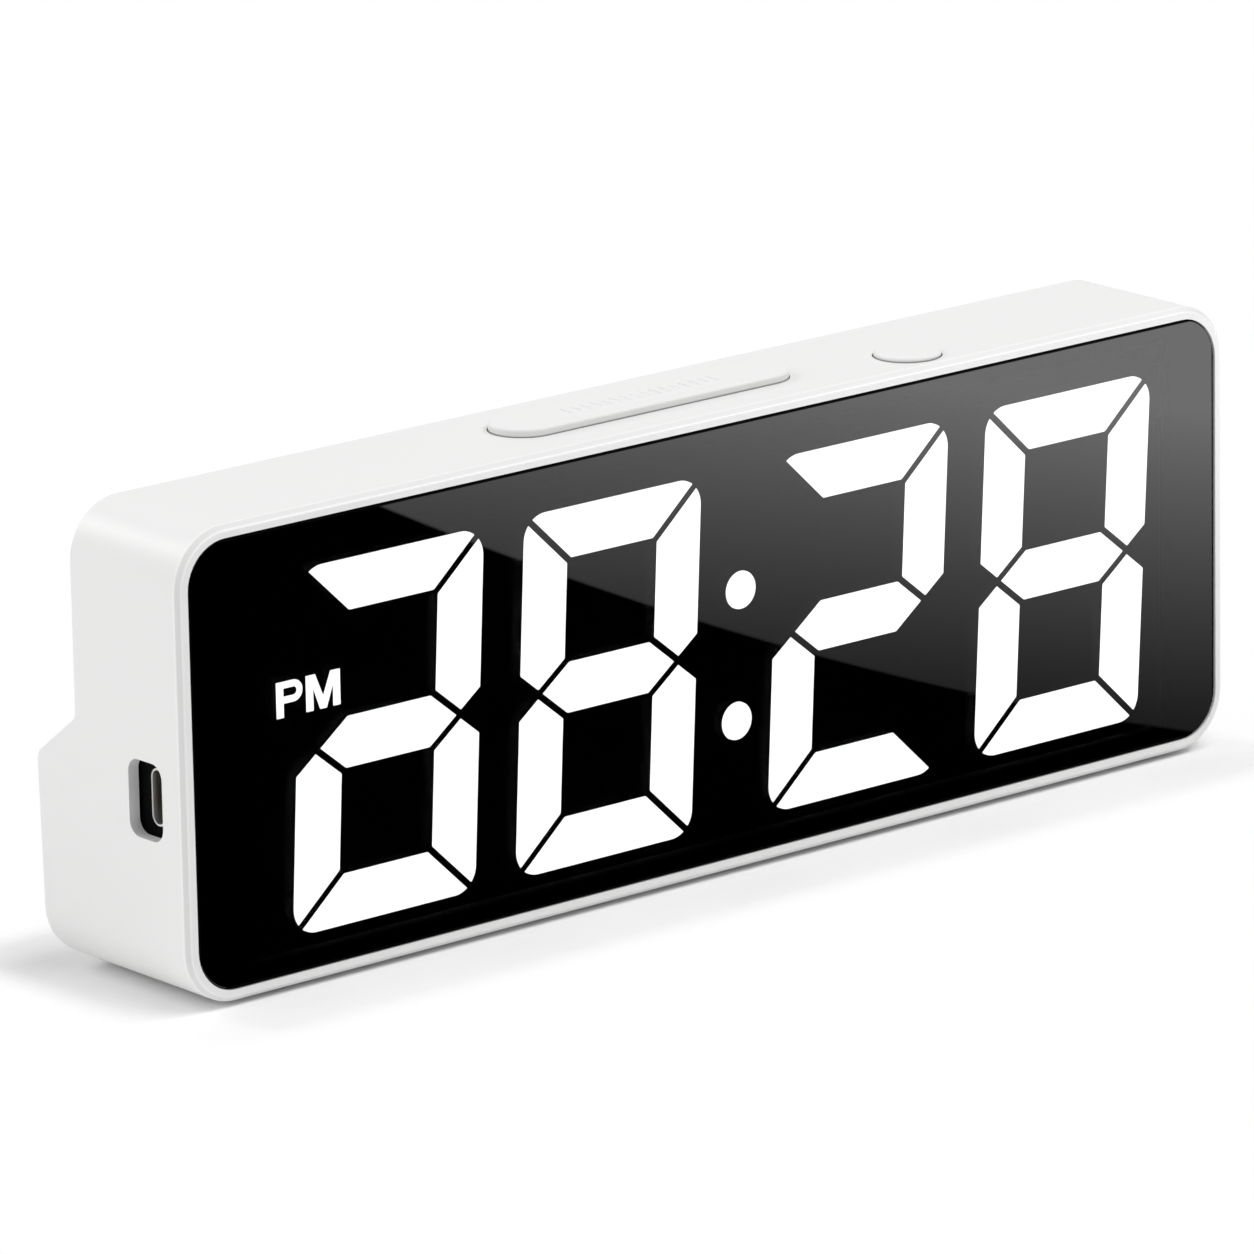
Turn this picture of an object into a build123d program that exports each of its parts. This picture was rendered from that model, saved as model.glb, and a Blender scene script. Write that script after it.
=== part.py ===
from build123d import *
import os
from math import hypot, radians, tan

# A desktop digital alarm clock: a moulded case, a dark lens over a seven-segment display,
# push controls on the top and the back, a charging socket in the left end and a battery base.
# Millimetres. +X is the right of a viewer facing the clock, +Y its back and +Z up.
# The origin is on the table, under the middle of the whole clock.

# Case
case_width = 210.0
case_height = 73.0
upper_depth = 26.0
base_reach = 9.8
base_lean = 0.9
slope_rise = 7.3
shoulder_margin = 1.65
corner_radius = 9.0
heel_radius = 5.0
step_radius = 2.0
rim_chamfer = 0.9
rim_edge_radius = 0.25
wall = 1.9
overrun = 1.0
quarter_turn = 90.0

# Lens and the ledge behind it
lens_thickness = 2.0
lens_setback = 0.2
lens_gap = 0.1
lens_chamfer = 0.25
tape_thickness = 0.3
tape_width = 2.0
tape_inset = 0.3
ledge_width = 2.7
ledge_thickness = 1.3
ledge_corner_radius = 12.0

# Digits, as seen from the front: their margins are to the edges of the lens
digits_left_margin = 20.6
digits_right_margin = 14.0
digits_top_margin = 7.8
digits_bottom_margin = 4.9
pair_gap = 7.9
colon_gap = 15.6
digit_slant = 3.3
digit_corner_radius = 4.2
bar_thickness = 7.9
upright_width = 8.6
segment_gap = 1.15
waist_inset = 3.6
dot_diameter = 6.0
dot_spread = 20.7
colon_shift = 0.75
colon_drop = 1.6
indicator_width = 13.4
indicator_height = 7.6
indicator_inset = 2.3
indicator_rise = 8.9
segment_letters = ("abcdeg", "abcdefg", "abcdefg", "abcdefg")
unlit_letters = ("", "", "cf", "")

# Display block, board and what sits on the board
insert_depth = 3.0
insert_gap = 0.05
reflector_setback = 0.4
reflector_rim = 1.0
reflector_end_rim = 1.6
reflector_flange = 1.5
flange_clearance = 0.3
flange_end_gap = 7.0
board_thickness = 1.2
board_end_gap = 2.2
board_edge_gap = 3.6
board_notch_gap = 1.0
led_length = 2.8
led_width = 1.6
led_height = 0.9
led_spacing_share = 0.5
indicator_led_share = 0.25
chip_length = 17.9
chip_width = 7.5
chip_height = 2.3
chip_rise = 8.0
crystal_length = 8.0
crystal_width = 3.1
crystal_gap = 3.0
capacitor_diameter = 6.3
capacitor_gap = 4.3
capacitor_end_inset = 16.9
can_edge_chamfer = 0.4
buzzer_diameter = 12.0
buzzer_gap = 3.5
buzzer_hole_diameter = 2.0
buzzer_shift = 52.0
sound_hole_diameter = 1.6
sound_ring_radius = 3.6
sound_hole_count = 6
switch_size = 6.0
switch_height = 3.5
switch_plunger_diameter = 3.4
switch_plunger_height = 0.8
edge_switch_height = 2.0
edge_switch_depth = 3.5
edge_plunger_length = 3.0
edge_plunger_width = 1.6
edge_plunger_height = 0.6
touch_gap = 0.05

# Socket in the left end
window_depth = 8.1
window_height = 12.0
window_radius = 2.3
socket_setback = 9.3
socket_rise = 30.9
socket_width = 8.94
socket_thickness = 3.26
socket_wall = 0.31
socket_length = 7.3
socket_floor = 0.8
tongue_width = 6.7
tongue_thickness = 0.7
tongue_setback = 1.0
collar_setback = 0.5
collar_thickness = 1.5
collar_lap = 1.3
collar_gap = 0.05

# Top controls
bar_length = 56.9
bar_width = 11.0
bar_proud = 1.3
bar_edge_radius = 0.4
bar_shift = -5.1
bar_setback = 13.4
bar_travel = 0.8
bar_flange_reach = 1.3
bar_flange_thickness = 1.0
bar_stem_length = 5.0
bar_stem_width = 3.0
bar_stem_drop = 0.6
bar_stem_spread = 30.0
button_diameter = 10.6
button_proud = 0.8
button_edge_radius = 0.5
button_shift = 44.5
button_setback = 7.6
button_travel = 0.5
button_lug_length = 14.4
button_lug_width = 3.8
button_lug_thickness = 1.0
button_stem_length = 5.0
control_gap = 0.2
stop_gap = 0.2

# Back controls
back_button_diameter = 7.0
back_button_proud = 0.8
back_button_edge_radius = 0.4
back_button_pitch = 14.0
back_button_shift = -38.0
back_button_travel = 0.5
back_flange_reach = 1.0
back_flange_thickness = 1.0
back_stem_diameter = 4.0

# Batteries and their compartment
cell_diameter = 10.5
cell_length = 44.5
cell_nub_diameter = 3.8
cell_nub_length = 1.0
cell_edge_chamfer = 0.4
cell_rows = 2
cell_columns = 2
cell_gap = 0.4
contact_room = 2.2
contact_thickness = 0.4
contact_width = 8.0
contact_dome_diameter = 5.0
contact_dome_taper = 35.0
leaf_width = 4.0
leaf_chord = 7.0
tail_width = 2.0
tail_gap = 0.3
pocket_divider = 1.6
box_wall = 1.6
box_rim = 1.2
door_thickness = 1.6
door_seat = 0.75
door_gap = 0.2
door_seat_gap = 0.1
door_hinge_width = 8.0
door_hinge_spread = 60.0
door_hook_thickness = 1.2
door_hook_drop = 1.3
door_hook_rise = 1.2
door_hook_gap = 0.15
door_hook_room = 0.4
thumb_width = 14.0
thumb_height = 5.0
thumb_depth = 0.7
thumb_inset = 2.0
cover_strip = 2.45
cover_gap = 0.15

# Screws, their bosses and wells, and the feet
boss_radius = 3.2
boss_inset = 6.4
boss_rise = 7.6
boss_rib = 1.4
boss_end_depth = 14.0
thread_gap = 0.03
pilot_depth = 7.0
well_radius = 2.8
well_wall = 1.0
well_floor = 1.6
case_screw_head_radius = 2.4
case_screw_head_height = 1.8
case_screw_shank_radius = 1.25
case_screw_bite = 6.0
screw_edge_chamfer = 0.5
screw_hole_gap = 0.15
post_radius = 2.6
post_inset = 5.6
post_gap = 7.0
board_screw_head_radius = 2.1
board_screw_head_height = 1.5
board_screw_shank_radius = 1.0
board_screw_bite = 4.5
foot_length = 14.0
foot_width = 7.0
foot_proud = 0.8
foot_recess = 0.5
foot_gap = 0.1
foot_end_inset = 18.0
foot_edge_inset = 8.5
foot_edge_chamfer = 0.3

# Heights
case_bottom = foot_proud
case_top = case_bottom + case_height
case_mid = case_bottom + case_height / 2
inner_width = case_width - 2 * wall
inner_height = case_height - 2 * wall
inner_radius = corner_radius - wall
inner_top = case_top - wall
inner_end = inner_width / 2

# Battery door and the step in the back, both set by the cells
pocket_height = cell_rows * cell_diameter + (cell_rows + 1) * cell_gap
pocket_length = cell_length + 2 * contact_room
pocket_pitch = pocket_length + pocket_divider
door_height = pocket_height + 2 * door_seat
door_width = cell_columns * pocket_length + (cell_columns - 1) * pocket_divider + 2 * door_seat
heel_top = case_bottom + heel_radius
door_bottom = heel_top + cover_strip
door_mid = door_bottom + door_height / 2
door_top = door_bottom + door_height
shoulder_z = door_top + shoulder_margin
root_z = shoulder_z + slope_rise

# Depths, counted from the front of the rim
base_depth = upper_depth + base_reach
front_y = -base_depth / 2
step_y = front_y + upper_depth
rear_y = front_y + base_depth
lens_back = lens_setback + lens_thickness
ledge_front = lens_back + tape_thickness
ledge_back = ledge_front + ledge_thickness
reflector_front = lens_back + reflector_setback
board_front = socket_setback + socket_thickness / 2
board_back = board_front + board_thickness
back_controls_z = (root_z + case_top) / 2
socket_z = case_bottom + socket_rise
cover_inner = upper_depth - wall

# Bosses for the case screws and posts for the board screws
boss_x = inner_end - boss_inset
boss_z = inner_height / 2 - boss_rise
boss_places = [(side * boss_x, case_mid + level * boss_z) for side in (-1, 1) for level in (-1, 1)]
post_x = inner_end - post_inset
post_z = boss_z - post_gap
post_places = [(side * post_x, case_mid + level * post_z) for side in (-1, 1) for level in (-1, 1)]
well_seat = boss_end_depth + well_floor


def face_plane(depth):
    """A plane that faces the viewer, this far behind the front of the rim."""
    return Plane(origin=(0, front_y + depth, 0), x_dir=(1, 0, 0), z_dir=(0, -1, 0))


def back_y(level):
    """Where the leaning back of the base is at this height."""
    return rear_y - base_lean * (shoulder_z - level) / (shoulder_z - case_bottom)


def draw_case_profile(sketch):
    """Draws the case as seen from its right end, with depth across and height up."""
    with BuildLine() as outline:
        Polyline(
            (front_y, case_bottom),
            (back_y(case_bottom), case_bottom),
            (rear_y, shoulder_z),
            (step_y, root_z),
            (step_y, case_top),
            (front_y, case_top),
            close=True,
        )
    make_face(outline.edges())
    heel = sketch.vertices().group_by(Axis.Y)[0].sort_by(Axis.X)[-1]
    fillet(heel, heel_radius)
    shoulder = sketch.vertices().sort_by_distance((rear_y, shoulder_z))[0]
    fillet(shoulder, step_radius)
    root = sketch.vertices().sort_by_distance((step_y, root_z))[0]
    fillet(root, step_radius)


def back_skin(thickness, low, high):
    """A skin of this thickness along the stepped back, between two heights, as wide as the case."""
    with BuildPart() as skin:
        with BuildSketch(Plane.YZ) as band:
            draw_case_profile(band)
            offset(band.sketch_local, amount=-thickness, mode=Mode.SUBTRACT)
            with Locations((rear_y - upper_depth / 2 + overrun, (low + high) / 2)):
                Rectangle(upper_depth, high - low, mode=Mode.INTERSECT)
        extrude(amount=case_width / 2, both=True)
    return skin.part


# Main housing: stepped shell, open at the back, with the lens pocket and its ledge at the front
view_width = inner_width - 2 * ledge_width
view_height = inner_height - 2 * ledge_width

with BuildPart() as hollow:
    with BuildSketch(Plane.YZ) as inside:
        draw_case_profile(inside)
        offset(inside.sketch_local, amount=-wall, mode=Mode.REPLACE)
    extrude(amount=case_width / 2, both=True)
    with BuildSketch(face_plane(ledge_back)):
        with Locations((0, case_mid)):
            RectangleRounded(inner_width, inner_height, inner_radius)
    extrude(amount=-base_depth, mode=Mode.INTERSECT)

with BuildPart() as main_housing:
    with BuildSketch(Plane.YZ) as side:
        draw_case_profile(side)
    extrude(amount=case_width / 2, both=True)
    with BuildSketch(face_plane(0)):
        with Locations((0, case_mid)):
            RectangleRounded(case_width, case_height, corner_radius)
    extrude(amount=-base_depth, mode=Mode.INTERSECT)
    # Rim chamfer, with both of its edges softened
    chamfer(main_housing.faces().sort_by(Axis.Y)[0].edges(), rim_chamfer)
    rim_foot = front_y + rim_chamfer
    rim_edges = main_housing.edges().group_by(Axis.Y)[0]
    rim_edges += main_housing.edges().filter_by_position(Axis.Y, rim_foot - touch_gap, rim_foot + touch_gap)
    fillet(rim_edges, rim_edge_radius)
    # Pocket for the lens, then the opening inside its ledge
    with BuildSketch(face_plane(0)):
        with Locations((0, case_mid)):
            RectangleRounded(inner_width, inner_height, inner_radius)
    extrude(amount=-ledge_front, mode=Mode.SUBTRACT)
    with BuildSketch(face_plane(ledge_front)):
        with Locations((0, case_mid)):
            RectangleRounded(view_width, view_height, ledge_corner_radius)
    extrude(amount=-ledge_thickness, mode=Mode.SUBTRACT)
    # The hollow, and the opening that the back panel closes
    add(hollow.part, mode=Mode.SUBTRACT)
    with BuildSketch(face_plane(ledge_back)):
        with Locations((0, case_mid)):
            RectangleRounded(inner_width, inner_height, inner_radius)
        with Locations((0, case_bottom)):
            Rectangle(case_width, 2 * heel_radius, mode=Mode.SUBTRACT)
    extrude(amount=-base_depth, mode=Mode.SUBTRACT)
    # Bosses for the case screws and posts for the board, each with a rib to the end wall
    with BuildSketch(face_plane(ledge_back)):
        with Locations(*boss_places):
            Circle(boss_radius)
        for place_x, place_z in boss_places:
            rib_end = inner_end if place_x > 0 else -inner_end
            with Locations(((place_x + rib_end) / 2, place_z)):
                Rectangle(boss_inset, boss_rib)
    extrude(amount=-(boss_end_depth - ledge_back))
    with BuildSketch(face_plane(ledge_back)):
        with Locations(*post_places):
            Circle(post_radius)
        for place_x, place_z in post_places:
            rib_end = inner_end if place_x > 0 else -inner_end
            with Locations(((place_x + rib_end) / 2, place_z)):
                Rectangle(post_inset, boss_rib)
    extrude(amount=-(board_front - ledge_back))
    with BuildSketch(face_plane(boss_end_depth)):
        with Locations(*boss_places):
            Circle(case_screw_shank_radius + thread_gap)
    extrude(amount=pilot_depth, mode=Mode.SUBTRACT)
    with BuildSketch(face_plane(board_front)):
        with Locations(*post_places):
            Circle(board_screw_shank_radius + thread_gap)
    extrude(amount=board_screw_bite + touch_gap, mode=Mode.SUBTRACT)
    # Openings for the top controls
    with BuildSketch(Plane.XY.offset(case_top)):
        with Locations((bar_shift, front_y + bar_setback)):
            SlotOverall(bar_length + 2 * control_gap, bar_width + 2 * control_gap)
        with Locations((button_shift, front_y + button_setback)):
            Circle(button_diameter / 2 + control_gap)
    extrude(amount=-wall, mode=Mode.SUBTRACT)
    # Window for the plug in the left end
    with BuildSketch(Plane.YZ.offset(-case_width / 2)):
        with Locations((front_y + socket_setback, socket_z)):
            RectangleRounded(window_depth, window_height, window_radius)
    extrude(amount=wall, mode=Mode.SUBTRACT)
    # Shallow seats for the feet
    foot_x = case_width / 2 - foot_end_inset
    foot_front_y = front_y + foot_edge_inset
    foot_back_y = back_y(case_bottom) - foot_edge_inset
    foot_places = [(side * foot_x, level) for side in (-1, 1) for level in (foot_front_y, foot_back_y)]
    with BuildSketch(Plane.XY.offset(case_bottom)):
        with Locations(*foot_places):
            SlotOverall(foot_length + 2 * foot_gap, foot_width + 2 * foot_gap)
    extrude(amount=foot_recess, mode=Mode.SUBTRACT)
main_housing.part.label = "main_housing"

# Rubber feet
with BuildPart() as rubber_feet:
    with BuildSketch(Plane.XY):
        with Locations(*foot_places):
            SlotOverall(foot_length, foot_width)
    extrude(amount=foot_proud + foot_recess)
    chamfer(rubber_feet.faces().group_by(Axis.Z)[0].edges(), foot_edge_chamfer)
rubber_feet.part.label = "rubber_feet"

# Lens and the adhesive ring behind it
lens_width = inner_width - 2 * lens_gap
lens_height = inner_height - 2 * lens_gap
lens_radius = inner_radius - lens_gap
with BuildPart() as front_lens:
    with BuildSketch(face_plane(lens_setback)):
        with Locations((0, case_mid)):
            RectangleRounded(lens_width, lens_height, lens_radius)
    extrude(amount=-lens_thickness)
    chamfer(front_lens.faces().sort_by(Axis.Y)[0].edges(), lens_chamfer)
front_lens.part.label = "front_lens"

tape_outer_width = lens_width - 2 * tape_inset
tape_outer_height = lens_height - 2 * tape_inset
with BuildPart() as lens_tape:
    with BuildSketch(face_plane(lens_back)):
        with Locations((0, case_mid)):
            RectangleRounded(tape_outer_width, tape_outer_height, lens_radius - tape_inset)
            RectangleRounded(
                tape_outer_width - 2 * tape_width,
                tape_outer_height - 2 * tape_width,
                lens_radius - tape_inset - tape_width,
                mode=Mode.SUBTRACT,
            )
    extrude(amount=-tape_thickness)
lens_tape.part.label = "lens_tape"

# Digits: one slanted ring each, cut into seven segments by slits along the corners and the waist
lean = tan(radians(digit_slant))
digits_run = lens_width - digits_left_margin - digits_right_margin
digit_width = (digits_run - 2 * pair_gap - colon_gap) / len(segment_letters)
digit_height = lens_height - digits_top_margin - digits_bottom_margin
half_width = digit_width / 2
half_height = digit_height / 2
digits_z = case_mid + (digits_bottom_margin - digits_top_margin) / 2
first_x = digits_left_margin + half_width - lens_width / 2
second_x = first_x + digit_width + pair_gap
third_x = second_x + digit_width + colon_gap
fourth_x = third_x + digit_width + pair_gap
digit_places = [first_x, second_x, third_x, fourth_x]
waist_half = waist_inset * (bar_thickness / 2) / (upright_width - waist_inset)

# The middle of each segment about the digit's middle
upright_x = half_width - upright_width / 2
upright_z = half_height / 2
bar_z = half_height - bar_thickness / 2
seats = {"a": (0, bar_z), "b": (upright_x, upright_z), "c": (upright_x, -upright_z), "d": (0, -bar_z),
         "e": (-upright_x, -upright_z), "f": (-upright_x, upright_z), "g": (0, 0)}


def slant(points, centre_x):
    """Leans points given about a digit's middle and moves them to the digit's place."""
    return [(centre_x + x + lean * z, digits_z + z) for x, z in points]


def draw_polygon(points, mode):
    """Adds a closed polygon to the sketch in hand, or cuts it away."""
    with BuildLine() as outline:
        Polyline(*points, close=True)
    make_face(outline.edges(), mode=mode)


def slit(start, end):
    """Corners of a slit of the segments' gap width, run on past both its ends."""
    run_x = end[0] - start[0]
    run_z = end[1] - start[1]
    length = hypot(run_x, run_z)
    ahead = (run_x * overrun / length, run_z * overrun / length)
    aside = (-run_z * segment_gap / 2 / length, run_x * segment_gap / 2 / length)
    first = (start[0] - ahead[0], start[1] - ahead[1])
    last = (end[0] + ahead[0], end[1] + ahead[1])
    return [
        (first[0] + aside[0], first[1] + aside[1]),
        (last[0] + aside[0], last[1] + aside[1]),
        (last[0] - aside[0], last[1] - aside[1]),
        (first[0] - aside[0], first[1] - aside[1]),
    ]


def digit_faces(centre_x, letters):
    """The segment faces that one digit has, by their usual letters."""
    with BuildSketch() as digit:
        corners = [(-half_width, -half_height), (half_width, -half_height),
                   (half_width, half_height), (-half_width, half_height)]
        draw_polygon(slant(corners, centre_x), Mode.ADD)
        fillet(digit.vertices(), digit_corner_radius)
        inner_x = half_width - upright_width
        inner_high = half_height - bar_thickness
        inner_low = bar_thickness / 2
        for level in (-1, 1):
            opening = [(-inner_x, level * inner_low), (inner_x, level * inner_low),
                       (inner_x, level * inner_high), (-inner_x, level * inner_high)]
            draw_polygon(slant(opening, centre_x), Mode.SUBTRACT)
            for side in (-1, 1):
                mitre = slit((side * inner_x, level * inner_high), (side * half_width, level * half_height))
                draw_polygon(slant(mitre, centre_x), Mode.SUBTRACT)
                waist = slit((side * inner_x, level * inner_low), (side * half_width, -level * waist_half))
                draw_polygon(slant(waist, centre_x), Mode.SUBTRACT)
        for side in (-1, 1):
            notch = [(side * (half_width - waist_inset), 0),
                     (side * (half_width + overrun), waist_half * (1 + overrun / waist_inset)),
                     (side * (half_width + overrun), -waist_half * (1 + overrun / waist_inset))]
            draw_polygon(slant(notch, centre_x), Mode.SUBTRACT)
    faces = {}
    for letter in letters:
        place = slant([seats[letter]], centre_x)[0]
        faces[letter] = digit.faces().sort_by_distance((place[0], place[1], 0))[0]
    return faces


digits = [digit_faces(centre_x, letters) for centre_x, letters in zip(digit_places, segment_letters)]
colon_x = (second_x + third_x) / 2 + colon_shift
colon_z = digits_z - colon_drop
dot_places = [(colon_x + lean * step, colon_z + step) for step in (-dot_spread / 2, dot_spread / 2)]
indicator_place = (first_x - half_width + indicator_inset, digits_z + indicator_rise)


def insert_part(faces, name):
    """Light-guide inserts behind the lens, one for each face."""
    with BuildPart() as inserts:
        with BuildSketch(face_plane(reflector_front)):
            add(faces)
        extrude(amount=-insert_depth)
    inserts.part.label = name
    return inserts.part


segment_parts = []
unlit_faces = []
for number, (faces, unlit) in enumerate(zip(digits, unlit_letters), start=1):
    lit_faces = [face for letter, face in faces.items() if letter not in unlit]
    unlit_faces += [face for letter, face in faces.items() if letter in unlit]
    segment_parts.append(insert_part(lit_faces, f"digit_{number}_segments"))
segment_parts.append(insert_part(unlit_faces, "unlit_segments"))

with BuildPart() as colon_dots:
    with BuildSketch(face_plane(reflector_front)):
        with Locations(*dot_places):
            Circle(dot_diameter / 2)
    extrude(amount=-insert_depth)
colon_dots.part.label = "colon_dots"

with BuildPart() as pm_window:
    with BuildSketch(face_plane(reflector_front)):
        with Locations(indicator_place):
            Rectangle(indicator_width, indicator_height)
    extrude(amount=-insert_depth)
pm_window.part.label = "pm_window"

# Reflector: a block with a well for each insert, and flanges that rest on the lens ledge
reflector_height = digit_height + 2 * reflector_rim
digit_reach = half_width + lean * half_height
reflector_end = max(fourth_x + digit_reach, digit_reach - first_x, indicator_width / 2 - indicator_place[0])
reflector_width = 2 * (reflector_end + reflector_end_rim)
flange_height = inner_height - 2 * flange_clearance
flange_width = reflector_width - 2 * flange_end_gap
with BuildPart() as display_reflector:
    with BuildSketch(face_plane(reflector_front)):
        with Locations((0, digits_z)):
            Rectangle(reflector_width, reflector_height)
    extrude(amount=-(board_front - reflector_front))
    with BuildSketch(face_plane(ledge_back)):
        with Locations((0, case_mid)):
            Rectangle(flange_width, flange_height)
    extrude(amount=-reflector_flange)
    with BuildSketch(face_plane(reflector_front)):
        for faces in digits:
            for face in faces.values():
                offset(face, amount=insert_gap, kind=Kind.INTERSECTION, mode=Mode.ADD)
        with Locations(*dot_places):
            Circle(dot_diameter / 2 + insert_gap)
        with Locations(indicator_place):
            Rectangle(indicator_width + 2 * insert_gap, indicator_height + 2 * insert_gap)
    extrude(amount=-(board_front - reflector_front), mode=Mode.SUBTRACT)
display_reflector.part.label = "display_reflector"

# Circuit board with clearance round the bosses and an ear under the round button's switch
board_width = inner_width - 2 * board_end_gap
board_height = inner_height - 2 * board_edge_gap
lug_foot_z = inner_top - stop_gap - button_lug_thickness
button_plunger_top = lug_foot_z - button_travel - touch_gap
button_switch_top = button_plunger_top - edge_plunger_height
notch_width = board_width / 2 - boss_x + boss_radius + board_notch_gap
notch_height = board_height / 2 - boss_z + boss_radius + board_notch_gap
ear_height = button_switch_top - case_mid
with BuildPart() as display_board:
    with BuildSketch(face_plane(board_front)):
        with Locations((0, case_mid)):
            Rectangle(board_width, board_height)
        for side in (-1, 1):
            for level in (-1, 1):
                corner_x = side * (board_width / 2 - notch_width / 2)
                corner_z = case_mid + level * (board_height / 2 - notch_height / 2)
                with Locations((corner_x, corner_z)):
                    Rectangle(notch_width, notch_height, mode=Mode.SUBTRACT)
        with Locations((button_shift, case_mid + ear_height / 2)):
            Rectangle(switch_size + 2 * board_notch_gap, ear_height)
        with Locations(*post_places):
            Circle(board_screw_shank_radius + screw_hole_gap, mode=Mode.SUBTRACT)
    extrude(amount=-board_thickness)
display_board.part.label = "display_board"

# Two diodes for each segment, one for each dot and two for the indicator
led_run_x = led_spacing_share * (half_width - upright_width)
led_run_z = led_spacing_share * (half_height - bar_thickness) / 2
led_places = list(dot_places)
indicator_run = indicator_led_share * indicator_width
led_places += [(indicator_place[0] + side * indicator_run, indicator_place[1]) for side in (-1, 1)]
for centre_x, letters in zip(digit_places, segment_letters):
    for letter in letters:
        seat_x, seat_z = seats[letter]
        run_x, run_z = (led_run_x, 0) if letter in "adg" else (0, led_run_z)
        pair = [(seat_x - run_x, seat_z - run_z), (seat_x + run_x, seat_z + run_z)]
        led_places += slant(pair, centre_x)
with BuildPart() as segment_leds:
    with BuildSketch(face_plane(board_front)):
        with Locations(*led_places):
            Rectangle(led_length, led_width)
    extrude(amount=led_height)
segment_leds.part.label = "segment_leds"

# Parts on the back of the board
with BuildPart() as driver_chip:
    with BuildSketch(face_plane(board_back)):
        with Locations((0, case_mid + chip_rise)):
            Rectangle(chip_length, chip_width)
    extrude(amount=-chip_height)
driver_chip.part.label = "driver_chip"

with BuildPart() as crystal:
    with BuildSketch(face_plane(board_back)):
        with Locations((0, case_mid + chip_rise - chip_width / 2 - crystal_gap - crystal_width / 2)):
            SlotOverall(crystal_length, crystal_width)
    extrude(amount=-crystal_width)
crystal.part.label = "crystal"

with BuildPart() as capacitor:
    with BuildSketch(face_plane(board_back)):
        with Locations((capacitor_end_inset - board_width / 2, back_controls_z)):
            Circle(capacitor_diameter / 2)
    extrude(amount=-(cover_inner - capacitor_gap - board_back))
    chamfer(capacitor.faces().sort_by(Axis.Y)[-1].edges(), can_edge_chamfer)
capacitor.part.label = "capacitor"

buzzer_height = cover_inner - buzzer_gap - board_back
with BuildPart() as buzzer:
    with BuildSketch(face_plane(board_back)):
        with Locations((buzzer_shift, back_controls_z)):
            Circle(buzzer_diameter / 2)
    extrude(amount=-buzzer_height)
    with BuildSketch(face_plane(board_back + buzzer_height)):
        with Locations((buzzer_shift, back_controls_z)):
            Circle(buzzer_hole_diameter / 2)
    extrude(amount=buzzer_height / 2, mode=Mode.SUBTRACT)
buzzer.part.label = "buzzer"

# Snooze bar with its retaining flange and two feet that reach its switches
bar_y = front_y + bar_setback
bar_flange_bottom = inner_top - stop_gap - bar_flange_thickness
bar_stem_y = front_y + board_back + edge_switch_depth / 2
bar_stem_places = [(bar_shift + side * bar_stem_spread / 2, bar_stem_y) for side in (-1, 1)]
with BuildPart() as snooze_bar:
    with BuildSketch(Plane.XY.offset(bar_flange_bottom)):
        with Locations((bar_shift, bar_y)):
            SlotOverall(bar_length, bar_width)
    extrude(amount=case_top + bar_proud - bar_flange_bottom)
    fillet(snooze_bar.faces().sort_by(Axis.Z)[-1].edges(), bar_edge_radius)
    with BuildSketch(Plane.XY.offset(bar_flange_bottom)):
        with Locations((bar_shift, bar_y)):
            SlotOverall(bar_length + 2 * bar_flange_reach, bar_width + 2 * bar_flange_reach)
    extrude(amount=bar_flange_thickness)
    with BuildSketch(Plane.XY.offset(bar_flange_bottom)):
        with Locations(*bar_stem_places):
            Rectangle(bar_stem_length, bar_stem_width)
    extrude(amount=-bar_stem_drop)
snooze_bar.part.label = "snooze_bar"

# Round button: a disc in the top wall on a stem with two lugs under the wall
button_y = front_y + button_setback
button_underside = inner_top + button_travel + touch_gap
with BuildPart() as alarm_button:
    with BuildSketch(Plane.XY.offset(button_underside)):
        with Locations((button_shift, button_y)):
            Circle(button_diameter / 2)
    extrude(amount=case_top + button_proud - button_underside)
    fillet(alarm_button.faces().sort_by(Axis.Z)[-1].edges(), button_edge_radius)
    with BuildSketch(Plane.XY.offset(lug_foot_z)):
        with Locations((button_shift, button_y)):
            Rectangle(button_stem_length, button_lug_width)
    extrude(amount=button_underside - lug_foot_z)
    with BuildSketch(Plane.XY.offset(lug_foot_z)):
        with Locations((button_shift, button_y)):
            Rectangle(button_lug_length, button_lug_width)
    extrude(amount=button_lug_thickness)
alarm_button.part.label = "alarm_button"

# Edge switches: two behind the board for the bar and one in front of it for the round button
bar_plunger_top = bar_flange_bottom - bar_stem_drop - bar_travel - touch_gap
button_switch_y = front_y + board_front - edge_switch_depth / 2
edge_switch_places = [(place, bar_plunger_top) for place in bar_stem_places]
edge_switch_places.append(((button_shift, button_switch_y), button_plunger_top))
with BuildPart() as top_switches:
    for place, plunger_top in edge_switch_places:
        with BuildSketch(Plane.XY.offset(plunger_top - edge_plunger_height)):
            with Locations(place):
                Rectangle(switch_size, edge_switch_depth)
        extrude(amount=-edge_switch_height)
        with BuildSketch(Plane.XY.offset(plunger_top)):
            with Locations(place):
                Rectangle(edge_plunger_length, edge_plunger_width)
        extrude(amount=-edge_plunger_height)
top_switches.part.label = "top_switches"

# Back buttons, and the switches on the back of the board that they push
back_button_names = ("set_button", "up_button", "down_button")
back_button_places = [(back_button_shift + step * back_button_pitch, back_controls_z) for step in (-1, 0, 1)]
switch_tip = board_back + switch_height + switch_plunger_height
back_flange_front = cover_inner - stop_gap - back_flange_thickness
with BuildPart() as back_switches:
    with BuildSketch(face_plane(board_back)):
        with Locations(*back_button_places):
            Rectangle(switch_size, switch_size)
    extrude(amount=-switch_height)
    with BuildSketch(face_plane(board_back + switch_height)):
        with Locations(*back_button_places):
            Circle(switch_plunger_diameter / 2)
    extrude(amount=-switch_plunger_height)
back_switches.part.label = "back_switches"

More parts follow.
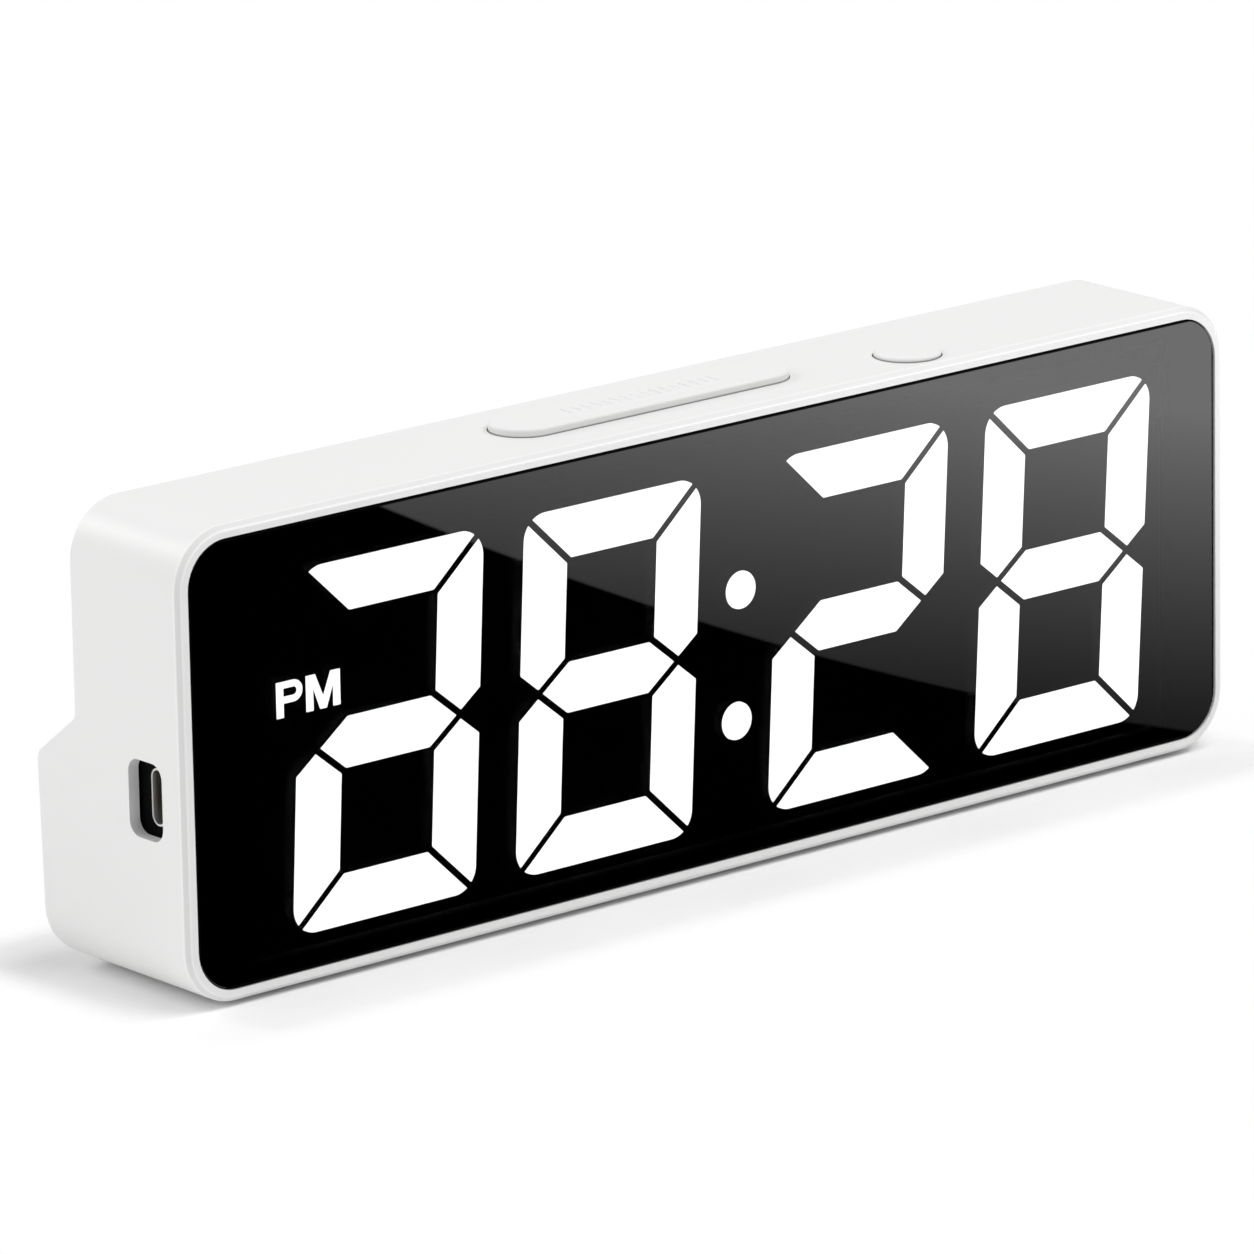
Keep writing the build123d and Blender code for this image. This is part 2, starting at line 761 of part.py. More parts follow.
back_button_parts = []
for name, place in zip(back_button_names, back_button_places):
    with BuildPart() as back_button:
        with BuildSketch(face_plane(back_flange_front)):
            with Locations(place):
                Circle(back_button_diameter / 2)
        extrude(amount=-(upper_depth + back_button_proud - back_flange_front))
        fillet(back_button.faces().sort_by(Axis.Y)[-1].edges(), back_button_edge_radius)
        with BuildSketch(face_plane(back_flange_front)):
            with Locations(place):
                Circle(back_button_diameter / 2 + back_flange_reach)
        extrude(amount=-back_flange_thickness)
        with BuildSketch(face_plane(back_flange_front)):
            with Locations(place):
                Circle(back_stem_diameter / 2)
        extrude(amount=back_flange_front - switch_tip - back_button_travel - touch_gap)
    back_button.part.label = name
    back_button_parts.append(back_button.part)

# Socket behind the window: metal shell, contact tongue and the collar round its mouth
socket_y = front_y + socket_setback
socket_mouth = socket_thickness - 2 * socket_wall
mouth_x = collar_setback - inner_end
with BuildPart() as usb_shell:
    with BuildSketch(Plane.YZ.offset(mouth_x)):
        with Locations((socket_y, socket_z)):
            SlotOverall(socket_width, socket_thickness, rotation=quarter_turn)
    extrude(amount=socket_length)
    with BuildSketch(Plane.YZ.offset(mouth_x)):
        with Locations((socket_y, socket_z)):
            SlotOverall(socket_width - 2 * socket_wall, socket_mouth, rotation=quarter_turn)
    extrude(amount=socket_length - socket_floor, mode=Mode.SUBTRACT)
usb_shell.part.label = "usb_shell"

with BuildPart() as usb_tongue:
    with BuildSketch(Plane.YZ.offset(mouth_x + tongue_setback)):
        with Locations((socket_y, socket_z)):
            Rectangle(tongue_thickness, tongue_width)
    extrude(amount=socket_length - socket_floor - tongue_setback)
usb_tongue.part.label = "usb_tongue"

with BuildPart() as port_collar:
    with BuildSketch(Plane.YZ.offset(mouth_x)):
        with Locations((socket_y, socket_z)):
            RectangleRounded(window_depth + 2 * collar_lap, window_height + 2 * collar_lap, window_radius)
            SlotOverall(
                socket_width + 2 * collar_gap,
                socket_thickness + 2 * collar_gap,
                rotation=quarter_turn,
                mode=Mode.SUBTRACT,
            )
    extrude(amount=collar_thickness)
port_collar.part.label = "port_collar"

# Back panel: a skin along the stepped back, set between the case's walls, with the battery box
hinge_depth = back_y(door_bottom) - front_y
pocket_floor = hinge_depth - door_thickness - 2 * cell_gap - cell_diameter
box_front = pocket_floor - box_wall
cell_depth = pocket_floor + cell_gap + cell_diameter / 2
hook_low = door_bottom - door_hook_drop
strip_inner = back_y(hook_low - door_hook_room) - front_y - wall
hook_back = strip_inner - door_hook_gap
hook_front = hook_back - door_hook_thickness
hook_swing = hypot(hinge_depth - hook_front, door_hook_drop)
hook_slot_front = hinge_depth - hook_swing - door_hook_room
hinge_places = [side * door_hinge_spread / 2 for side in (-1, 1)]
column_places = [(step - (cell_columns - 1) / 2) * pocket_pitch for step in range(cell_columns)]
row_pitch = cell_diameter + cell_gap
row_places = [door_mid + (step - (cell_rows - 1) / 2) * row_pitch for step in range(cell_rows)]
terminal_x = column_places[0] - pocket_length / 2 + contact_thickness / 2

with BuildPart() as door_space:
    add(back_skin(door_thickness + door_seat_gap, door_bottom - door_gap, door_top + door_gap))
    with BuildSketch(face_plane(0)):
        with Locations((0, door_mid)):
            Rectangle(door_width + 2 * door_gap, door_height + 2 * door_gap)
    extrude(amount=-(base_depth + overrun), mode=Mode.INTERSECT)

cover_width = inner_width - 2 * cover_gap
cover_height = inner_height - 2 * cover_gap
cover_skin = back_skin(wall, heel_top + cover_gap, inner_top - cover_gap)
with BuildPart() as rear_cover:
    add(cover_skin)
    with BuildSketch(face_plane(0)):
        with Locations((0, case_mid)):
            RectangleRounded(cover_width, cover_height, inner_radius - cover_gap)
    extrude(amount=-(base_depth + overrun), mode=Mode.INTERSECT)
    # Battery box, its two pockets and the space for the door
    with BuildSketch(face_plane(box_front)):
        with Locations((0, door_mid)):
            Rectangle(door_width + 2 * box_rim, door_height + 2 * box_rim)
    extrude(amount=-(base_depth - door_thickness - box_front))
    with BuildSketch(face_plane(pocket_floor)):
        with Locations((0, door_mid)):
            with GridLocations(pocket_pitch, pocket_height, cell_columns, 1):
                Rectangle(pocket_length, pocket_height)
    extrude(amount=-(base_depth - pocket_floor), mode=Mode.SUBTRACT)
    add(door_space.part, mode=Mode.SUBTRACT)
    # Slots that let the door's hooks swing, above and behind the strip under the door
    with BuildSketch(face_plane(hook_slot_front)):
        for hinge_x in hinge_places:
            with Locations((hinge_x, (hook_low - door_hook_room + door_bottom) / 2)):
                Rectangle(door_hinge_width + 2 * door_gap, door_hook_drop + door_hook_room)
    extrude(amount=-(strip_inner - hook_slot_front), mode=Mode.SUBTRACT)
    with BuildSketch(face_plane(hook_slot_front)):
        for hinge_x in hinge_places:
            with Locations((hinge_x, door_bottom - door_gap + (door_hook_rise + door_hook_room) / 2)):
                Rectangle(door_hinge_width + 2 * door_gap, door_hook_rise + door_hook_room)
    extrude(amount=-(hinge_depth - door_thickness / 2 - hook_slot_front), mode=Mode.SUBTRACT)
    # Slots for the battery tails
    with BuildSketch(face_plane(box_front)):
        for level in row_places:
            with Locations((terminal_x, level)):
                Rectangle(contact_thickness + 2 * tail_gap, tail_width + 2 * tail_gap)
    extrude(amount=-box_wall, mode=Mode.SUBTRACT)
    # Screw wells that reach forward to the bosses
    for place_x, place_z in boss_places:
        wall_depth = upper_depth if place_z > root_z else back_y(place_z) - front_y
        with BuildSketch(face_plane(boss_end_depth)):
            with Locations((place_x, place_z)):
                Circle(well_radius + well_wall)
        extrude(amount=-(wall_depth - wall / 2 - boss_end_depth))
        with BuildSketch(face_plane(well_seat)):
            with Locations((place_x, place_z)):
                Circle(well_radius)
        extrude(amount=-base_depth, mode=Mode.SUBTRACT)
        with BuildSketch(face_plane(boss_end_depth)):
            with Locations((place_x, place_z)):
                Circle(case_screw_shank_radius + screw_hole_gap)
        extrude(amount=-well_floor, mode=Mode.SUBTRACT)
    # Holes for the back buttons and the buzzer's sound
    with BuildSketch(face_plane(cover_inner)):
        with Locations(*back_button_places):
            Circle(back_button_diameter / 2 + control_gap)
        with Locations((buzzer_shift, back_controls_z)):
            Circle(sound_hole_diameter / 2)
            with PolarLocations(sound_ring_radius, sound_hole_count):
                Circle(sound_hole_diameter / 2)
    extrude(amount=-wall, mode=Mode.SUBTRACT)
rear_cover.part.label = "rear_cover"

# Battery door: a plate flush with the back, hooked under at its lower edge
with BuildPart() as battery_door:
    add(back_skin(door_thickness, door_bottom, door_top))
    with BuildSketch(face_plane(0)):
        with Locations((0, door_mid)):
            Rectangle(door_width, door_height)
    extrude(amount=-(base_depth + overrun), mode=Mode.INTERSECT)
    with BuildSketch(face_plane(hook_front)):
        for hinge_x in hinge_places:
            with Locations((hinge_x, door_bottom + (door_hook_rise - door_hook_drop) / 2)):
                Rectangle(door_hinge_width, door_hook_rise + door_hook_drop)
    extrude(amount=-door_hook_thickness)
    with BuildSketch(face_plane(hook_front)):
        for hinge_x in hinge_places:
            with Locations((hinge_x, door_bottom + door_hook_rise / 2)):
                Rectangle(door_hinge_width, door_hook_rise)
    extrude(amount=-(hinge_depth - door_thickness / 2 - hook_front))
    with BuildSketch(face_plane(back_y(door_top) - front_y - thumb_depth)):
        with Locations((0, door_top - thumb_inset - thumb_height / 2)):
            SlotOverall(thumb_width, thumb_height)
    extrude(amount=-base_depth, mode=Mode.SUBTRACT)
battery_door.part.label = "battery_door"

# Cells: each row runs the other way
with BuildPart() as battery_cells:
    for column_x in column_places:
        for row, level in enumerate(row_places):
            way = 1 if row % 2 == 0 else -1
            flat_end = column_x - way * cell_length / 2
            with BuildSketch(Plane.YZ.offset(flat_end)):
                with Locations((front_y + cell_depth, level)):
                    Circle(cell_diameter / 2)
            extrude(amount=way * (cell_length - cell_nub_length))
            with BuildSketch(Plane.YZ.offset(flat_end)):
                with Locations((front_y + cell_depth, level)):
                    Circle(cell_nub_diameter / 2)
            extrude(amount=way * cell_length)
    rims = battery_cells.edges().filter_by(GeomType.CIRCLE).group_by(SortBy.RADIUS)[-1]
    chamfer(rims, cell_edge_chamfer)
battery_cells.part.label = "battery_cells"

# Contacts: a plate at each end of each cell, with a dome for the nub or a bowed leaf for the flat end
contact_reach = contact_room - contact_thickness - touch_gap
cell_y = front_y + cell_depth
with BuildPart() as battery_contacts:
    for column_x in column_places:
        for row, level in enumerate(row_places):
            way = 1 if row % 2 == 0 else -1
            for inward in (-1, 1):
                plate_x = column_x - inward * pocket_length / 2
                leaf_x = plate_x + inward * contact_thickness
                with BuildSketch(Plane.YZ.offset(plate_x)):
                    with Locations((cell_y, level)):
                        Rectangle(contact_width, contact_width)
                extrude(amount=inward * contact_thickness)
                if inward == -way:
                    with BuildSketch(Plane.YZ.offset(leaf_x)):
                        with Locations((cell_y, level)):
                            Circle(contact_dome_diameter / 2)
                    extrude(amount=inward * contact_reach, taper=contact_dome_taper)
                else:
                    with BuildSketch(Plane.XY.offset(level - leaf_width / 2)):
                        with BuildLine():
                            outer = ThreePointArc(
                                (leaf_x, cell_y - leaf_chord / 2),
                                (leaf_x + inward * contact_reach, cell_y),
                                (leaf_x, cell_y + leaf_chord / 2),
                            )
                            inner = ThreePointArc(
                                (leaf_x, cell_y - leaf_chord / 2 + contact_thickness),
                                (leaf_x + inward * (contact_reach - contact_thickness), cell_y),
                                (leaf_x, cell_y + leaf_chord / 2 - contact_thickness),
                            )
                            Line(outer @ 0, inner @ 0)
                            Line(outer @ 1, inner @ 1)
                        make_face()
                    extrude(amount=leaf_width)
    for level in row_places:
        with BuildSketch(face_plane(board_back)):
            with Locations((terminal_x, level)):
                Rectangle(contact_thickness, tail_width)
        extrude(amount=-(cell_depth - board_back))
battery_contacts.part.label = "battery_contacts"

# Screws
with BuildPart() as case_screws:
    with BuildSketch(face_plane(well_seat)):
        with Locations(*boss_places):
            Circle(case_screw_head_radius)
    extrude(amount=-case_screw_head_height)
    chamfer(case_screws.faces().group_by(Axis.Y)[-1].edges(), screw_edge_chamfer)
    with BuildSketch(face_plane(well_seat)):
        with Locations(*boss_places):
            Circle(case_screw_shank_radius)
    extrude(amount=well_floor + case_screw_bite)
case_screws.part.label = "case_screws"

with BuildPart() as board_screws:
    with BuildSketch(face_plane(board_back)):
        with Locations(*post_places):
            Circle(board_screw_head_radius)
    extrude(amount=-board_screw_head_height)
    chamfer(board_screws.faces().group_by(Axis.Y)[-1].edges(), screw_edge_chamfer)
    with BuildSketch(face_plane(board_back)):
        with Locations(*post_places):
            Circle(board_screw_shank_radius)
    extrude(amount=board_thickness + board_screw_bite)
board_screws.part.label = "board_screws"

pieces = [
    main_housing.part, rear_cover.part, front_lens.part, lens_tape.part, display_reflector.part,
    *segment_parts, colon_dots.part, pm_window.part, display_board.part, segment_leds.part,
    driver_chip.part, crystal.part, capacitor.part, buzzer.part, usb_shell.part, usb_tongue.part,
    port_collar.part, snooze_bar.part, alarm_button.part, top_switches.part, *back_button_parts,
    back_switches.part, battery_cells.part, battery_contacts.part, battery_door.part,
    case_screws.part, board_screws.part, rubber_feet.part,
]
os.makedirs("parts", exist_ok=True)
for piece in pieces:
    export_step(piece, f"parts/{piece.label}.step")
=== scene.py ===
import logging
import math
from dataclasses import dataclass
from enum import Enum
from typing import Any, Dict, List, NamedTuple, Optional, Tuple, Union

import bmesh
import bpy
from mathutils import Matrix, Vector


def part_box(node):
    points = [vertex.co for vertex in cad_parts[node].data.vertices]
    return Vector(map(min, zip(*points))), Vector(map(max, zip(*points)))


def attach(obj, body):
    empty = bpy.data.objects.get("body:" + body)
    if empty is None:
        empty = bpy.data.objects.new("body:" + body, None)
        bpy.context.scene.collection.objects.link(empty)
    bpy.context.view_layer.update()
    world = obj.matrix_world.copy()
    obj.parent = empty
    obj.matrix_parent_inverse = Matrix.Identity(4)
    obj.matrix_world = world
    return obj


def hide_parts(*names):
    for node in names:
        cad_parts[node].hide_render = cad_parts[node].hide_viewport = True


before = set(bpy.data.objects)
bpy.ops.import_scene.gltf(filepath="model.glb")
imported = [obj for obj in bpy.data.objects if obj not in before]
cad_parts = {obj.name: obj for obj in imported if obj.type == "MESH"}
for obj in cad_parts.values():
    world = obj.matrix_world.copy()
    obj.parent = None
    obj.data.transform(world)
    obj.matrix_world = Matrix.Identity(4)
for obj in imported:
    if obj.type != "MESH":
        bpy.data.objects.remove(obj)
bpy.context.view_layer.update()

# Looks of a digital alarm clock: white moulded case, dark lens, lit segments, socket and battery base.
# Sizes are in metres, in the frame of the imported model: +X to the viewer's right, +Y to the back, +Z up.

MM = 0.001
LOG = logging.getLogger("clock")
Colour = Tuple[float, float, float, float]
Place = Tuple[float, float, float]
Outline = List[Tuple[float, float]]
Key = Union[int, str]
CASE_WHITE: Colour = (0.845, 0.845, 0.84, 1.0)


class Band(NamedTuple):
    """Where a change lies along an axis, how wide or soft it is, and the share or gain that it brings."""

    place: float
    width: float
    share: float


class Body(Enum):
    """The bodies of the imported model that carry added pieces."""

    CASE = "case"
    BAR = "snooze_bar"
    DOOR = "battery_door"


class Slot(Enum):
    """Material slots of the record, one named for each kind of added piece."""

    LIT = "lit_segment"
    METAL = "bright_metal"
    SCREW = "screw_steel"
    WHITE = "white_case"
    CONTROL = "white_control"


def grey(level: float) -> Colour:
    """An opaque grey of this linear level."""
    return (level, level, level, 1.0)


def tinted(colour: Colour, share: float) -> Colour:
    """A colour with its light multiplied by a share."""
    return (colour[0] * share, colour[1] * share, colour[2] * share, 1.0)


class Wire:
    """A node's output that takes part in Python sums; each sum adds a Math node."""

    def __init__(self, nodes: "Nodes", socket: bpy.types.NodeSocket) -> None:
        """Keeps the output with the tree it belongs to."""
        self.nodes = nodes
        self.socket = socket

    def _sum(self, operation: str, first: "Operand", second: "Operand" = 0.0) -> "Wire":
        """Adds one Math node.

        Args:
            operation: the Math node's operation.
            first: the left value.
            second: the right value, left out where the operation takes one.

        Returns:
            The node's result.
        """
        node = self.nodes.node("ShaderNodeMath", {"operation": operation}, {0: first, 1: second})
        return self.nodes.out(node)

    def __add__(self, other: "Operand") -> "Wire":
        """self + other."""
        return self._sum("ADD", self, other)

    def __radd__(self, other: "Operand") -> "Wire":
        """other + self."""
        return self._sum("ADD", other, self)

    def __sub__(self, other: "Operand") -> "Wire":
        """self - other."""
        return self._sum("SUBTRACT", self, other)

    def __rsub__(self, other: "Operand") -> "Wire":
        """other - self."""
        return self._sum("SUBTRACT", other, self)

    def __mul__(self, other: "Operand") -> "Wire":
        """self * other."""
        return self._sum("MULTIPLY", self, other)

    def __rmul__(self, other: "Operand") -> "Wire":
        """other * self."""
        return self._sum("MULTIPLY", other, self)

    def __truediv__(self, other: "Operand") -> "Wire":
        """self / other."""
        return self._sum("DIVIDE", self, other)

    def __rtruediv__(self, other: "Operand") -> "Wire":
        """other / self."""
        return self._sum("DIVIDE", other, self)

    def __pow__(self, other: "Operand") -> "Wire":
        """self ** other."""
        return self._sum("POWER", self, other)

    def __rpow__(self, other: "Operand") -> "Wire":
        """other ** self."""
        return self._sum("POWER", other, self)

    def __lt__(self, other: "Operand") -> "Wire":
        """1 where self is less than other, and 0 elsewhere."""
        return self._sum("LESS_THAN", self, other)

    def __gt__(self, other: "Operand") -> "Wire":
        """1 where self is greater than other, and 0 elsewhere: the reflected form of less than."""
        return self._sum("GREATER_THAN", self, other)

    def lowest(self, other: "Operand") -> "Wire":
        """The smaller of self and other."""
        return self._sum("MINIMUM", self, other)

    def highest(self, other: "Operand") -> "Wire":
        """The larger of self and other."""
        return self._sum("MAXIMUM", self, other)

    def size(self) -> "Wire":
        """The value without its sign."""
        return self._sum("ABSOLUTE", self)

    def wave(self) -> "Wire":
        """The sine of the value."""
        return self._sum("SINE", self)

    def swing(self, width: float) -> "Wire":
        """A value about 0 that swings by this width while self goes from 0 to 1."""
        return (self - 0.5) * width

    def step(self, edge: float, soft: float) -> "Wire":
        """Rises from 0 to 1 around an edge.

        Args:
            edge: the value at which the result is one half.
            soft: the width of the rise.

        Returns:
            The eased step.
        """
        return self.nodes.out(self.nodes.node("ShaderNodeMapRange", {"interpolation_type": "SMOOTHSTEP"},
                                              {0: self, 1: edge - soft / 2, 2: edge + soft / 2}))


Operand = Union[Wire, float]


class Nodes:
    """A node tree under construction."""

    def __init__(self, tree: bpy.types.NodeTree) -> None:
        """Keeps the tree."""
        self.tree = tree

    def node(self, kind: str, settings: Optional[Dict[str, Any]] = None,
             inputs: Optional[Dict[Key, Any]] = None) -> bpy.types.Node:
        """Adds a node.

        Args:
            kind: Blender's name for the node's type.
            settings: its properties, which are set first.
            inputs: values, wires or lists of wires, by socket name or number.

        Returns:
            The new node.
        """
        made = self.tree.nodes.new(kind)
        for key, value in (settings or {}).items():
            setattr(made, key, value)
        for key, value in (inputs or {}).items():
            for one in (value if isinstance(value, list) else [value]):
                if isinstance(one, Wire):
                    self.tree.links.new(one.socket, made.inputs[key])
                else:
                    made.inputs[key].default_value = one
        return made

    def out(self, node: bpy.types.Node, key: Key = 0) -> Wire:
        """Wraps one output of a node."""
        return Wire(self, node.outputs[key])

    def split(self, vector: Wire) -> Tuple[Wire, Wire, Wire]:
        """The three parts of a vector."""
        node = self.node("ShaderNodeSeparateXYZ", None, {0: vector})
        return self.out(node, 0), self.out(node, 1), self.out(node, 2)


class Paint(Nodes):
    """One procedural material, or the world, under construction."""

    def __init__(self, name: str, world: Optional[bpy.types.World] = None) -> None:
        """Starts an empty material.

        Args:
            name: the material's name.
            world: a world to write in instead of a new material.
        """
        self.material = world or bpy.data.materials.new(name)
        self.material.use_nodes = True
        super().__init__(self.material.node_tree)
        self.tree.nodes.clear()

    def coords(self) -> Wire:
        """The object's own coordinates, in metres."""
        return self.out(self.node("ShaderNodeTexCoord"), "Object")

    def axes(self) -> Tuple[Wire, Wire, Wire]:
        """The object's coordinates as three numbers."""
        return self.split(self.coords())

    def noise(self, grain: float, detail: float = 2.0, stretch: Place = (1.0, 1.0, 1.0)) -> Wire:
        """Noise between about 0 and 1 on the object's coordinates.

        Args:
            grain: the size of one blotch in metres.
            detail: octaves of finer noise.
            stretch: how the pattern is scaled along each axis.

        Returns:
            The noise value.
        """
        mapping = self.node("ShaderNodeMapping", None, {"Vector": self.coords(), "Scale": stretch})
        return self.out(self.node("ShaderNodeTexNoise", None, {
            "Vector": self.out(mapping), "Scale": 1.0 / grain, "Detail": detail}))

    def blend(self, share: Operand, first: Any, second: Any) -> Wire:
        """Mixes two colours.

        Args:
            share: how much of the second colour shows.
            first: a colour or a wire.
            second: a colour or a wire.

        Returns:
            The mixed colour.
        """
        made = self.node("ShaderNodeMix", {"data_type": "RGBA"}, {0: share, 6: first, 7: second})
        return self.out(made, 2)

    def bump(self, height: Wire, depth: float, strength: float) -> Wire:
        """A normal bent by a height.

        Args:
            height: the height, from 0 to 1.
            depth: the full height in metres.
            strength: the share of the effect.

        Returns:
            The bent normal.
        """
        return self.out(self.node("ShaderNodeBump", None, {
            "Height": height, "Distance": depth, "Strength": strength}))

    def principled(self, **sockets: Any) -> Wire:
        """Adds a Principled shader.

        Args:
            **sockets: values or wires, by socket name with spaces written as underscores.

        Returns:
            The shader.
        """
        named = {key.replace("_", " "): value for key, value in sockets.items()}
        return self.out(self.node("ShaderNodeBsdfPrincipled", None, named))

    def surface(self, **sockets: Any) -> bpy.types.Material:
        """Closes the material with a Principled shader of these sockets."""
        return self.close(self.principled(**sockets))

    def close(self, shader: Wire) -> bpy.types.Material:
        """Links a shader to the output.

        Args:
            shader: what the material or the world shows.

        Returns:
            The finished material, or the world.
        """
        kind = "World" if isinstance(self.material, bpy.types.World) else "Material"
        self.node(f"ShaderNodeOutput{kind}", None, {"Surface": shader})
        return self.material

    def seen(self) -> Wire:
        """Tells the rays that show a background to the eye.

        Returns:
            1 for rays seen directly, in a mirror or through glass, and 0 for the rest.
        """
        paths = self.node("ShaderNodeLightPath")
        direct = self.out(paths, "Is Camera Ray").highest(self.out(paths, "Is Glossy Ray"))
        return direct.highest(self.out(paths, "Is Transmission Ray"))


@dataclass(frozen=True)
class MouldedPlastic:
    """Injection-moulded plastic with a fine spark-eroded grain and slight unevenness of tone.

    Below the level of each of its bands only a share of the colour is kept, as painted shade. Each of its
    edges is a place along Y with the gain of the colour there: a painted highlight where the gain is above
    1, painted shade below 1.
    """

    name: str
    colour: Colour
    roughness: float
    grain: float = 0.35 * MM
    grain_depth: float = 0.006 * MM
    grain_share: float = 0.6
    grain_swing: float = 0.06
    cloud: float = 38 * MM
    cloud_swing: float = 0.08
    tone: float = 0.012
    gloss: float = 0.5
    index: float = 1.5
    bands: Tuple[Band, ...] = ()
    edges: Tuple[Band, ...] = ()

    def material(self) -> bpy.types.Material:
        """Builds the material.

        Returns:
            The material.
        """
        paint = Paint(self.name)
        cloud = paint.noise(self.cloud, detail=3.0)
        speck = paint.noise(self.grain, detail=1.0)
        base = paint.blend((cloud + speck) * 0.5, self.colour, tinted(self.colour, 1 - 2 * self.tone))
        # Painted shade: below each band's level the colour is darker.
        for level, soft, share in self.bands:
            base = paint.blend(paint.axes()[2].step(level, soft), tinted(self.colour, share), base)
        # Painted highlight or painted shade: a lighter or darker line of colour along each edge.
        for place, width, gain in self.edges:
            apart = (paint.axes()[1] - place).size()
            base = paint.blend(apart.step(width / 2, width / 2), tinted(self.colour, gain), base)
        rough = self.roughness + cloud.swing(self.cloud_swing) + speck.swing(self.grain_swing)
        normal = paint.bump(speck, self.grain_depth, self.grain_share)
        return paint.surface(Base_Color=base, Roughness=rough, Normal=normal, IOR=self.index,
                             Specular_IOR_Level=self.gloss)


@dataclass(frozen=True)
class TintedLens:
    """Dark polished plate, printed black on its border and clear enough elsewhere to let light through."""

    name: str
    low: Vector
    high: Vector
    tint: float
    side_border: float
    end_border: float
    fade: float
    edge_line: float
    edge_fade: float = 0.1 * MM
    haze: float = 26 * MM
    haze_share: float = 0.97
    polish: float = 0.004
    index: float = 1.49
    ink: Colour = grey(0.001)
    ink_roughness: float = 0.9
    ink_gloss: float = 0.05

    def material(self) -> bpy.types.Material:
        """Builds the material.

        Returns:
            The material.
        """
        paint = Paint(self.name)
        x, _, z = paint.axes()
        middle, half = (self.low + self.high) / 2, (self.high - self.low) / 2
        from_end = half.x - (x - middle.x).size()
        from_side = half.z - (z - middle.z).size()
        window = from_end.step(self.end_border, self.fade) * from_side.step(self.side_border, self.fade)
        rim = 1.0 - from_end.lowest(from_side).step(self.edge_line, self.edge_fade)
        haze = paint.noise(self.haze)
        clear = paint.blend(haze, grey(self.tint), grey(self.tint * self.haze_share))
        plate = paint.principled(Base_Color=paint.blend(window, grey(0.0), clear), IOR=self.index,
                                 Roughness=self.polish + haze * self.polish, Transmission_Weight=1.0)
        border = paint.principled(Base_Color=self.ink, Roughness=self.ink_roughness,
                                  Specular_IOR_Level=self.ink_gloss)
        return paint.close(paint.out(paint.node("ShaderNodeMixShader", None, {0: rim, 1: plate, 2: border})))


@dataclass(frozen=True)
class LitGuide:
    """Diffusing light guide with a diode behind it."""

    name: str
    strength: float
    cloud: float = 6 * MM
    glow: Colour = grey(1.0)
    cooler: Colour = (0.97, 0.98, 1.0, 1.0)
    milk: Colour = grey(0.9)
    denser: Colour = grey(0.86)
    roughness: float = 0.45

    def material(self) -> bpy.types.Material:
        """Builds the material.

        Returns:
            The material.
        """
        paint = Paint(self.name)
        cloud = paint.noise(self.cloud)
        made = paint.surface(Base_Color=paint.blend(cloud, self.milk, self.denser),
                             Emission_Color=paint.blend(cloud, self.glow, self.cooler),
                             Roughness=self.roughness, Emission_Strength=self.strength)
        made.cycles.emission_sampling = "NONE"
        return made


@dataclass(frozen=True)
class PlatedMetal:
    """Stamped or turned metal with a drawn grain along one axis and duller patches."""

    name: str
    colour: Colour
    roughness: float
    stretch: Place = (1.0, 1.0, 1.0)
    grain: float = 0.4 * MM
    grain_depth: float = 0.004 * MM
    grain_share: float = 0.25
    grain_swing: float = 0.12
    patch: float = 5 * MM
    patch_share: float = 0.6
    patch_swing: float = 0.1
    dull: float = 0.8

    def material(self) -> bpy.types.Material:
        """Builds the material.

        Returns:
            The material.
        """
        paint = Paint(self.name)
        grain = paint.noise(self.grain, detail=3.0, stretch=self.stretch)
        patch = paint.noise(self.patch)
        dullness = patch * self.patch_share + grain * self.grain_share
        base = paint.blend(dullness, self.colour, tinted(self.colour, self.dull))
        rough = self.roughness + grain.swing(self.grain_swing) + patch.swing(self.patch_swing)
        return paint.surface(Base_Color=base, Roughness=rough, Metallic=1.0,
                             Normal=paint.bump(grain, self.grain_depth, strength=0.5))


@dataclass(frozen=True)
class MattSkin:
    """Rubber, foam or resin with a blotchy matt skin."""

    name: str
    colour: Colour
    roughness: float
    grain: float
    grain_depth: float = 0.03 * MM
    grain_swing: float = 0.15
    bloom: float = 1.5
    dust: float = 0.003

    def material(self) -> bpy.types.Material:
        """Builds the material.

        Returns:
            The material.
        """
        paint = Paint(self.name)
        pores = paint.noise(self.grain, detail=4.0)
        red, green, blue = (min(1.0, part * self.bloom + self.dust) for part in self.colour[:3])
        return paint.surface(Base_Color=paint.blend(pores, self.colour, (red, green, blue, 1.0)),
                             Roughness=self.roughness + pores.swing(self.grain_swing),
                             Normal=paint.bump(pores, self.grain_depth, strength=0.5))


@dataclass(frozen=True)
class SolderMask:
    """Circuit board lacquer over copper tracks, which sway, come in patches and break off at gaps."""

    name: str
    colour: Colour
    pitch: float
    sway: float = 6 * MM
    sway_length: float = 14 * MM
    patch: float = 22 * MM
    gap_pitch: float = 7 * MM
    over_copper: float = 1.7
    roughness: float = 0.35
    track_swing: float = 0.08
    track_height: float = 0.03 * MM

    def material(self) -> bpy.types.Material:
        """Builds the material.

        Returns:
            The material.
        """
        paint = Paint(self.name)
        x, _, z = paint.axes()
        run = paint.noise(self.sway_length, detail=0.0).swing(self.sway)
        lines = ((z + run) * (2 * math.pi / self.pitch)).wave().step(edge=0.2, soft=0.3)
        patches = paint.noise(self.patch, detail=1.0).step(edge=0.5, soft=0.05)
        gaps = (x * (math.pi / self.gap_pitch)).wave().step(edge=-0.6, soft=0.3)
        tracks = lines * patches * gaps
        lighter = tinted(self.colour, self.over_copper)
        return paint.surface(Base_Color=paint.blend(tracks, self.colour, lighter),
                             Roughness=self.roughness + tracks * self.track_swing,
                             Normal=paint.bump(tracks, self.track_height, strength=0.6))


